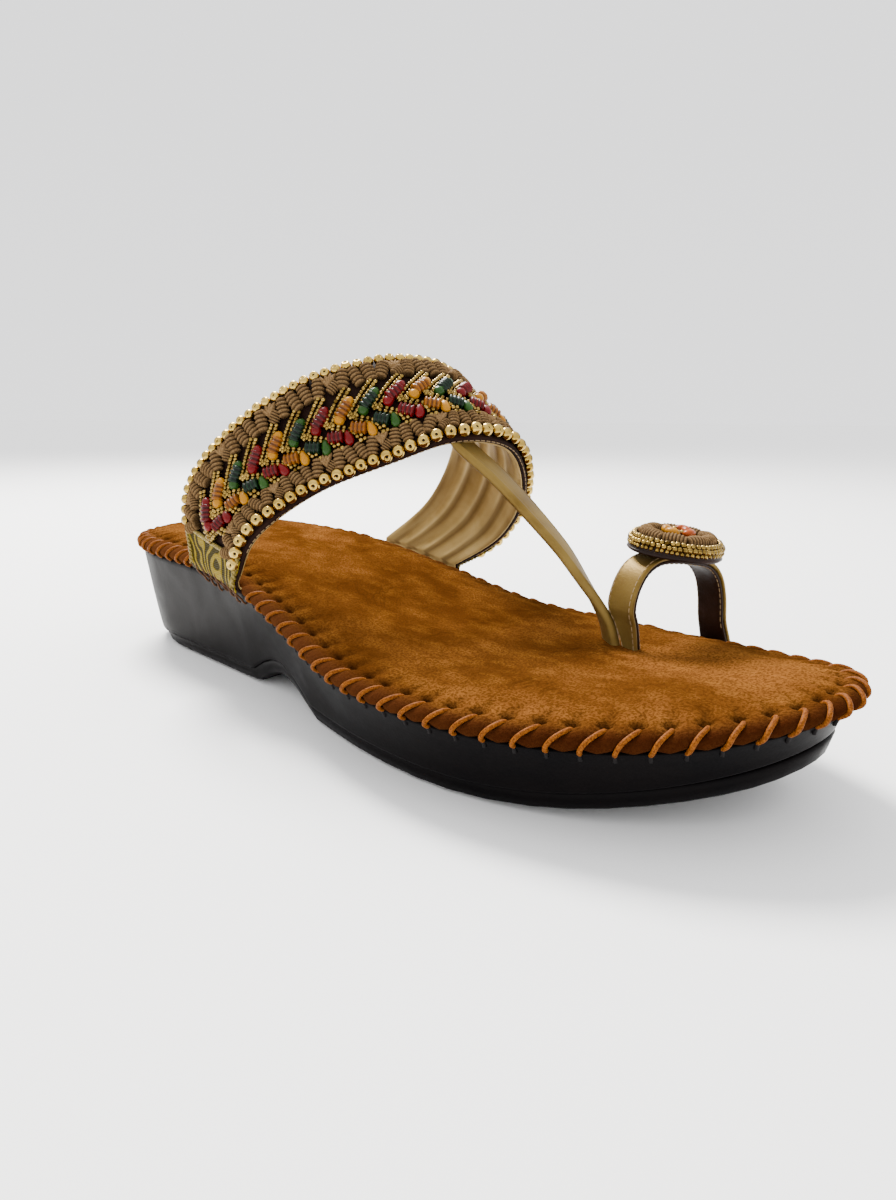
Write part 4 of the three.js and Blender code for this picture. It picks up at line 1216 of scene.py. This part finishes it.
for label, u_from, u_to in (("lateral", -0.3, 0.058), ("medial", 0.922, 1.3)):
    section = flat_section(-0.012, 1.008, 0.012, 16)
    tab = band_strap("brocade_" + label, u_from, u_to, section, 0.95, 2.75, (0.03, 0.08), 90)
    dress(tab, brocade, "brocade_tab_" + label)

gold_cord = grained("gold_piping_cord", (0.55, 0.40, 0.13), 0.4, 2400,
                    ((0.10, 0.072, 0.012), (0.27, 0.20, 0.06)), 0.6, **PLY, relief=0.0001,
                    strength=0.6)


# The two strands of a cord that is laid along the band
def twisted_cord(u, v, height, radius, lay_length):
    u, v = np.broadcast_arrays(u, v)
    point, _, normal = band_frame(u, v, np.full(len(u), height))
    along = np.gradient(point, axis=0)
    along /= np.linalg.norm(along, axis=1, keepdims=True)
    side = np.cross(normal, along)
    run = run_along(point)
    for half in (0, math.pi):
        angle = (run / lay_length * 2 * math.pi + half)[:, None]
        yield point + radius * (np.cos(angle) * normal + np.sin(angle) * side)


cord_runs = []
for u_from, u_to in ((-0.16, 0.07), (0.91, 1.16)):
    u = np.linspace(u_from, u_to, 90)
    cord_runs += twisted_cord(u, 0.012, 3.7, 0.42, 2.6)
    cord_runs += twisted_cord(u, 0.985, 3.6, 0.36, 2.4)
for u_end in (0.059, 0.921):
    cord_runs += twisted_cord(u_end, np.linspace(0.01, 0.985, 110), 3.5, 0.3, 2.2)
thread_object("tab_piping", cord_runs, 0.45, gold_cord)

# Long stitches down each foot, as distances out from the sole's edge and over the joint line. The
# last two rows hang lower in two of every three stitches.
tie_thread = grained("brown_tie_thread", (0.06, 0.025, 0.01), 0.65, 3000,
                     ((0.035, 0.013, 0.005), (0.10, 0.045, 0.018)), **PLY, relief=0.0001,
                     strength=0.5)
TIE_LAY = ((3.3, 4.2), (3.7, 2.6), (3.2, 0.9), (1.6, -0.5), (0.3, -1.6), (0.1, -2.6), (-1.0, -3.2))
tie_paths = []
for x_from, x_to, side in ((-52, -29, -1), (-43, -13, 1)):
    for k in range(7):
        x = x_from + (x_to - x_from) * k / 6 + random.uniform(-0.3, 0.3)
        edge = float(edge_across(x, side))
        joint = float(joint_height(x))
        path = []
        for row, (out, up) in enumerate(TIE_LAY):
            if row > 4:
                up -= 0.5 * (k % 3)
            path.append((x + 0.12 * up, edge + side * out, joint + up))
        tie_paths.append(path)
thread_object("tab_long_stitches", tie_paths, 0.32, tie_thread)

# Thong. One strap of gold leather is folded round a thin stiffener, leaving a soft ridge down each
# side. It starts under the band, twists as it comes down, and goes through a slot in the footbed.
# The section's rows are shares of half the width and of the thickness.
THONG_WIDTH = 7.7
THONG_WALL = 2.6
THONG_TWIST = np.radians(-50)
THONG_AT = (-.3, -.2, -.1, 0, .16, .36, .54, .72, .82, .92, 1)
THONG_TOP = np.array((
    (12.12, 6.75, 80.22), (14.74, 6.80, 77.98), (17.33, 6.87, 75.67), (19.58, 7.10, 72.92),
    (30.01, 8.51, 65.36), (40.02, 9.86, 56.65), (48.54, 11.02, 48.52), (55.57, 11.97, 39.90),
    (59.3, 13.0, 34.64), (62.5, 13.9, 28.41), (64.5, 14.5, 18.84)))
thong_line = curve_in_space(THONG_AT, THONG_TOP)
thong_twist = curve_through((-.3, 0, .16, .36, .54, .72, .82, .92, 1),
                            (0, 0, .02, .1, .25, .5, .7, .9, 1))
THONG_SECTION = (
    (-1, -.5), (-.97, -.24), (-.88, -.06), (-.76, .02), (-.68, -.02), (-.6, .0), (-.3, .03),
    (0, .04), (.3, .03), (.6, .0), (.68, -.02), (.76, .02), (.88, -.06), (.97, -.24), (1, -.5),
    (.97, -.78), (.88, -.95), (.6, -1), (0, -1), (-.6, -1), (-.88, -.95), (-.97, -.78), (-1, -.5))


def thong_place(s, t):
    u = -0.2 + 1.2 * s
    point = thong_line(u)
    ahead = thong_line(u + 0.004) - thong_line(u - 0.004)
    ahead /= np.linalg.norm(ahead, axis=-1, keepdims=True)
    across = np.array((0.0, 1.0, 0.0)) - ahead * ahead[:, 1:2]
    across /= np.linalg.norm(across, axis=-1, keepdims=True)
    up = np.cross(ahead, across)
    turn = THONG_TWIST * thong_twist(u)
    side = across * np.cos(turn)[:, None] + up * np.sin(turn)[:, None]
    top = np.cross(ahead, side)
    top *= np.where((up * top).sum(-1, keepdims=True) >= 0, 1, -1)
    over, down = along_table(THONG_SECTION, t)
    over = over + 0.036 * np.sin(u * 9 + 1.0) + 0.021 * np.sin(u * 23)
    spot = point + side * (over * THONG_WIDTH / 2)[:, None]
    return (spot + top * (down * THONG_WALL - 0.05)[:, None]).T


thong = laid_sheet("thong_strap", 160, len(THONG_SECTION) - 1, thong_place, (0.09, 0.02),
                   closed=True, capped=True)
dress(thong, gold_leather)

# Toe ring. An outer strap of gold leather with turned edges is stitched to a dark brown lining. One
# end goes down the thong's slot and the other is lasted under the footbed's edge. The sections' rows
# are shares of the width and heights in millimetres.
RING_AT = (0, .1, .2, .28, .37, .46, .53, .6, .7, .77, .84, .91, 1, 1.3, 1.45, 2)
RING_FRONT = np.array((
    (72.12, 11.74, 17.70), (71.92, 11.21, 24.42), (71.58, 10.29, 30.93), (71.24, 9.38, 34.50),
    (71.58, 10.29, 39.12), (72.41, 12.53, 42.90), (73.48, 15.41, 44.79), (74.85, 19.09, 45.21),
    (77.78, 26.96, 44.16), (79.73, 32.21, 42.58), (80.90, 35.36, 39.12), (81.49, 36.93, 34.08),
    (81.78, 37.72, 27.99), (82.84, 40.56, 20.27), (82.43, 39.47, 19.64), (79.75, 32.26, 19.43)))
RING_REAR = np.array((
    (67.90, 13.31, 17.70), (67.28, 12.94, 24.42), (64.41, 12.96, 30.93), (62.80, 12.51, 34.50),
    (63.14, 13.43, 39.12), (63.97, 15.66, 42.90), (65.05, 18.55, 44.79), (66.41, 22.22, 45.21),
    (69.34, 30.10, 44.16), (71.29, 35.35, 42.58), (72.46, 38.49, 39.12), (73.05, 40.07, 34.08),
    (73.34, 40.86, 27.99), (74.00, 42.63, 19.64), (73.60, 41.54, 19.01), (70.92, 34.33, 18.87)))
ring_front = curve_in_space(RING_AT, RING_FRONT)
ring_rear = curve_in_space(RING_AT, RING_REAR)


def ring_frame(share, over, height):
    over = np.asarray(over)[..., None]

    def point_at(place):
        return ring_front(place) + (ring_rear(place) - ring_front(place)) * over

    ahead = point_at(share + 0.01) - point_at(share - 0.01)
    normal = np.cross(ahead, ring_rear(share) - ring_front(share))
    normal /= np.linalg.norm(normal, axis=-1, keepdims=True)
    return point_at(share) + normal * np.asarray(height)[..., None]


def ring_strap(name, section):
    def place(s, t):
        over, height = along_table(section, t)
        return ring_frame(1.9 * s, over, height).T
    return laid_sheet(name, 150, len(section) - 1, place, (0.1, 0.02), closed=True, capped=True)


RING_OUTER = (
    (0, 1.4), (.02, 1.02), (.08, .92), (.5, .9), (.92, .92), (.98, 1.02), (1, 1.4), (.98, 1.82),
    (.93, 1.98), (.86, 2.02), (.82, 1.97), (.7, 2.0), (.5, 2.02), (.3, 2.0), (.18, 1.97),
    (.14, 2.02), (.07, 1.98), (.02, 1.82), (0, 1.4))
RING_INNER = (
    (.03, .42), (.05, .1), (.1, 0), (.3, 0), (.5, 0), (.7, 0), (.9, 0), (.95, .1), (.97, .42),
    (.95, .78), (.9, .86), (.5, .86), (.1, .86), (.05, .78), (.03, .42))
dress(ring_strap("ring_strap", RING_OUTER), gold_leather, "toe_ring")
brown_leather = grained("dark_brown_leather", (0.045, 0.018, 0.010), 0.45, 1600,
                        ((0.007, 0.0026, 0.0016), (0.030, 0.012, 0.006)),
                        rough=(0.35, 0.6), relief=0.0001, strength=0.6)
dress(ring_strap("ring_lining", RING_INNER), brown_leather)

# Small stitches along both edges of the strap and of its lining
RING_DASH_PITCH = 1.7
ring_share = np.linspace(0, 1.1, 400)
ring_run = run_along(ring_frame(ring_share, np.full(400, 0.5), np.full(400, 2.0)))
ring_dashes = []
for over, height, lift in ((0.1, 2.06, 0.1), (0.9, 2.06, 0.1),
                           (0.075, -0.03, -0.1), (0.925, -0.03, -0.1)):
    for k in range(int(ring_run[-1] / RING_DASH_PITCH)):
        spots = [k * RING_DASH_PITCH + gap for gap in (0.1, 0.45, 0.9, 1.3)]
        heights = np.array((height - lift, height, height, height - lift))
        share = np.interp(spots, ring_run, ring_share)
        ring_dashes.append(ring_frame(share, np.full(4, over), heights))
thread_object("ring_edge_stitches", ring_dashes, 0.12, cream_thread)

# Medallion. A leather oval is edged with three rows of tiny gold beads; inside them lie nine taupe
# wrapped barrels in a ring, and glass ovals and small beads fill the middle. It lies on the ring's
# crown, tipped 7 degrees towards the camera.
MEDAL_SEAT = Matrix.Translation(Vector((72.36, 25.30, 47.0)) * MM)
MEDAL_TIP = Matrix.Rotation(0.12, 4, Vector((0.762, 0.648, 0)))
MEDAL_TURN = (Matrix.Rotation(-0.13097, 4, "X") @ Matrix.Rotation(0.04853, 4, "Y")
              @ Matrix.Rotation(1.21793, 4, "Z"))
MEDAL_AT = MEDAL_SEAT @ MEDAL_TIP @ MEDAL_TURN
MEDAL_LONG = 13.0
MEDAL_ROUND = 12.2 / 13.0


def medal_outline(angle, radius):
    corner = radius * (1 + 0.03 * np.cos(2 * angle) + 0.025 * np.cos(4 * angle))
    return corner * np.cos(angle), corner * MEDAL_ROUND * np.sin(angle)


def on_medal(angle, radius, height, turn=0.0, scale=(1, 1, 1)):
    x, y = medal_outline(angle, radius)
    place = Matrix.Translation(Vector((float(x), float(y), height)) * MM)
    return MEDAL_AT @ place @ Matrix.Rotation(angle + turn, 4, "Z") @ Matrix.Diagonal((*scale, 1))


# A round body given by rows of radius, as a share of the medallion's, and height
def medal_disc(name, profile):
    def place(s, t):
        radius, height = along_table(profile, t)
        x, y = medal_outline(s * 2 * math.pi, radius * MEDAL_LONG)
        spot = np.stack((x, y, height), -1) @ np.array(MEDAL_AT.to_3x3()).T
        return (spot + np.array(MEDAL_AT.translation) / MM).T
    return laid_sheet(name, 64, len(profile) - 1, place, (0.08, 0.02), closed=True)


MEDAL_PROFILE = (
    (0, 0), (.5, 0), (.84, 0), (.93, .12), (.965, .5), (.95, .95), (.9, 1.25), (.955, 1.6),
    (.94, 2.0), (.86, 2.15), (.5, 2.2), (0, 2.2))
medal = medal_disc("medallion_leather", MEDAL_PROFILE)
dress(medal, brown_leather, "medallion_base")

RIM_ROWS = ((58, 11.95, 2.95, 1.12), (54, 11.2, 3.95, 1.08), (60, 12.1, 1.95, 0.88))
rim_seeds = []
for count, radius, height, grow in RIM_ROWS:
    for k in range(count):
        angle = 2 * math.pi * (k + random.uniform(-0.1, 0.1)) / count
        lift = height + random.uniform(-0.1, 0.1)
        rim_seeds.append(on_medal(angle, radius, lift, 0, (grow, grow, grow)))
seed = seed_object("seed", seed_ball, seed_gold)
set_copies("medallion_seed_rows", seed, rim_seeds, "medallion_bead_rim")

PAD_PROFILE = ((0, 2.25), (.6, 2.25), (.62, 2.6), (.56, 3.4), (.4, 4.2), (.25, 4.6), (0, 4.8))
dress(medal_disc("medallion_pad", PAD_PROFILE), brown_cloth)

BARRELS = 9
barrels = []
for k in range(BARRELS):
    turn = math.pi / 2 + random.uniform(-0.08, 0.08)
    barrels.append(on_medal(2 * math.pi * (k + 0.5) / BARRELS, 8.0, 4.45, turn, (1.12, 1.05, 1.0)))
seed = seed_object("medal_barrel", ridged_barrel(5.4, 4.1, 3.7, 7, groove=0.14, belly=0.3), taupe)
set_copies("medallion_barrels", seed, barrels, "medallion_thread_ring")

# Glass ovals in the middle, by angle, radius and turn
AMBER_AT = ((3.5, 3.6, 1.3), (2.4, 3.3, 1.4))
ORANGE_AT = ((0.1, 2.6, 1.2), (0.55, 3.7, 1.9), (4.9, 3.4, 1.5))


def centre_ovals(name, glass, places, node=None):
    copies = [on_medal(angle, radius, 5.7, turn, (0.95, 1.1, 1.1))
              for angle, radius, turn in places]
    seed = seed_object("oval", leaf(4.6, 2.3, 2.3), glass)
    set_copies(name, seed, copies, node)


centre_ovals("medallion_amber_ovals", OVAL[1], AMBER_AT, "medallion_centre")
orange = glass_bead("orange_glass", (0.18, 0.022, 0.0006), (0.34, 0.062, 0.0018))
centre_ovals("medallion_orange_ovals", orange, ORANGE_AT)

CENTRE_SEEDS = 16
centre_seeds = []
for k in range(CENTRE_SEEDS):
    radius = 1.0 + 2.4 * random.random()
    height = 5.3 + random.uniform(-0.2, 0.4)
    angle = 2 * math.pi * k / CENTRE_SEEDS
    centre_seeds.append(on_medal(angle, radius, height, 0, (1.1, 1.1, 1.1)))
seed = seed_object("seed", seed_ball, seed_gold)
set_copies("medallion_centre_seeds", seed, centre_seeds)
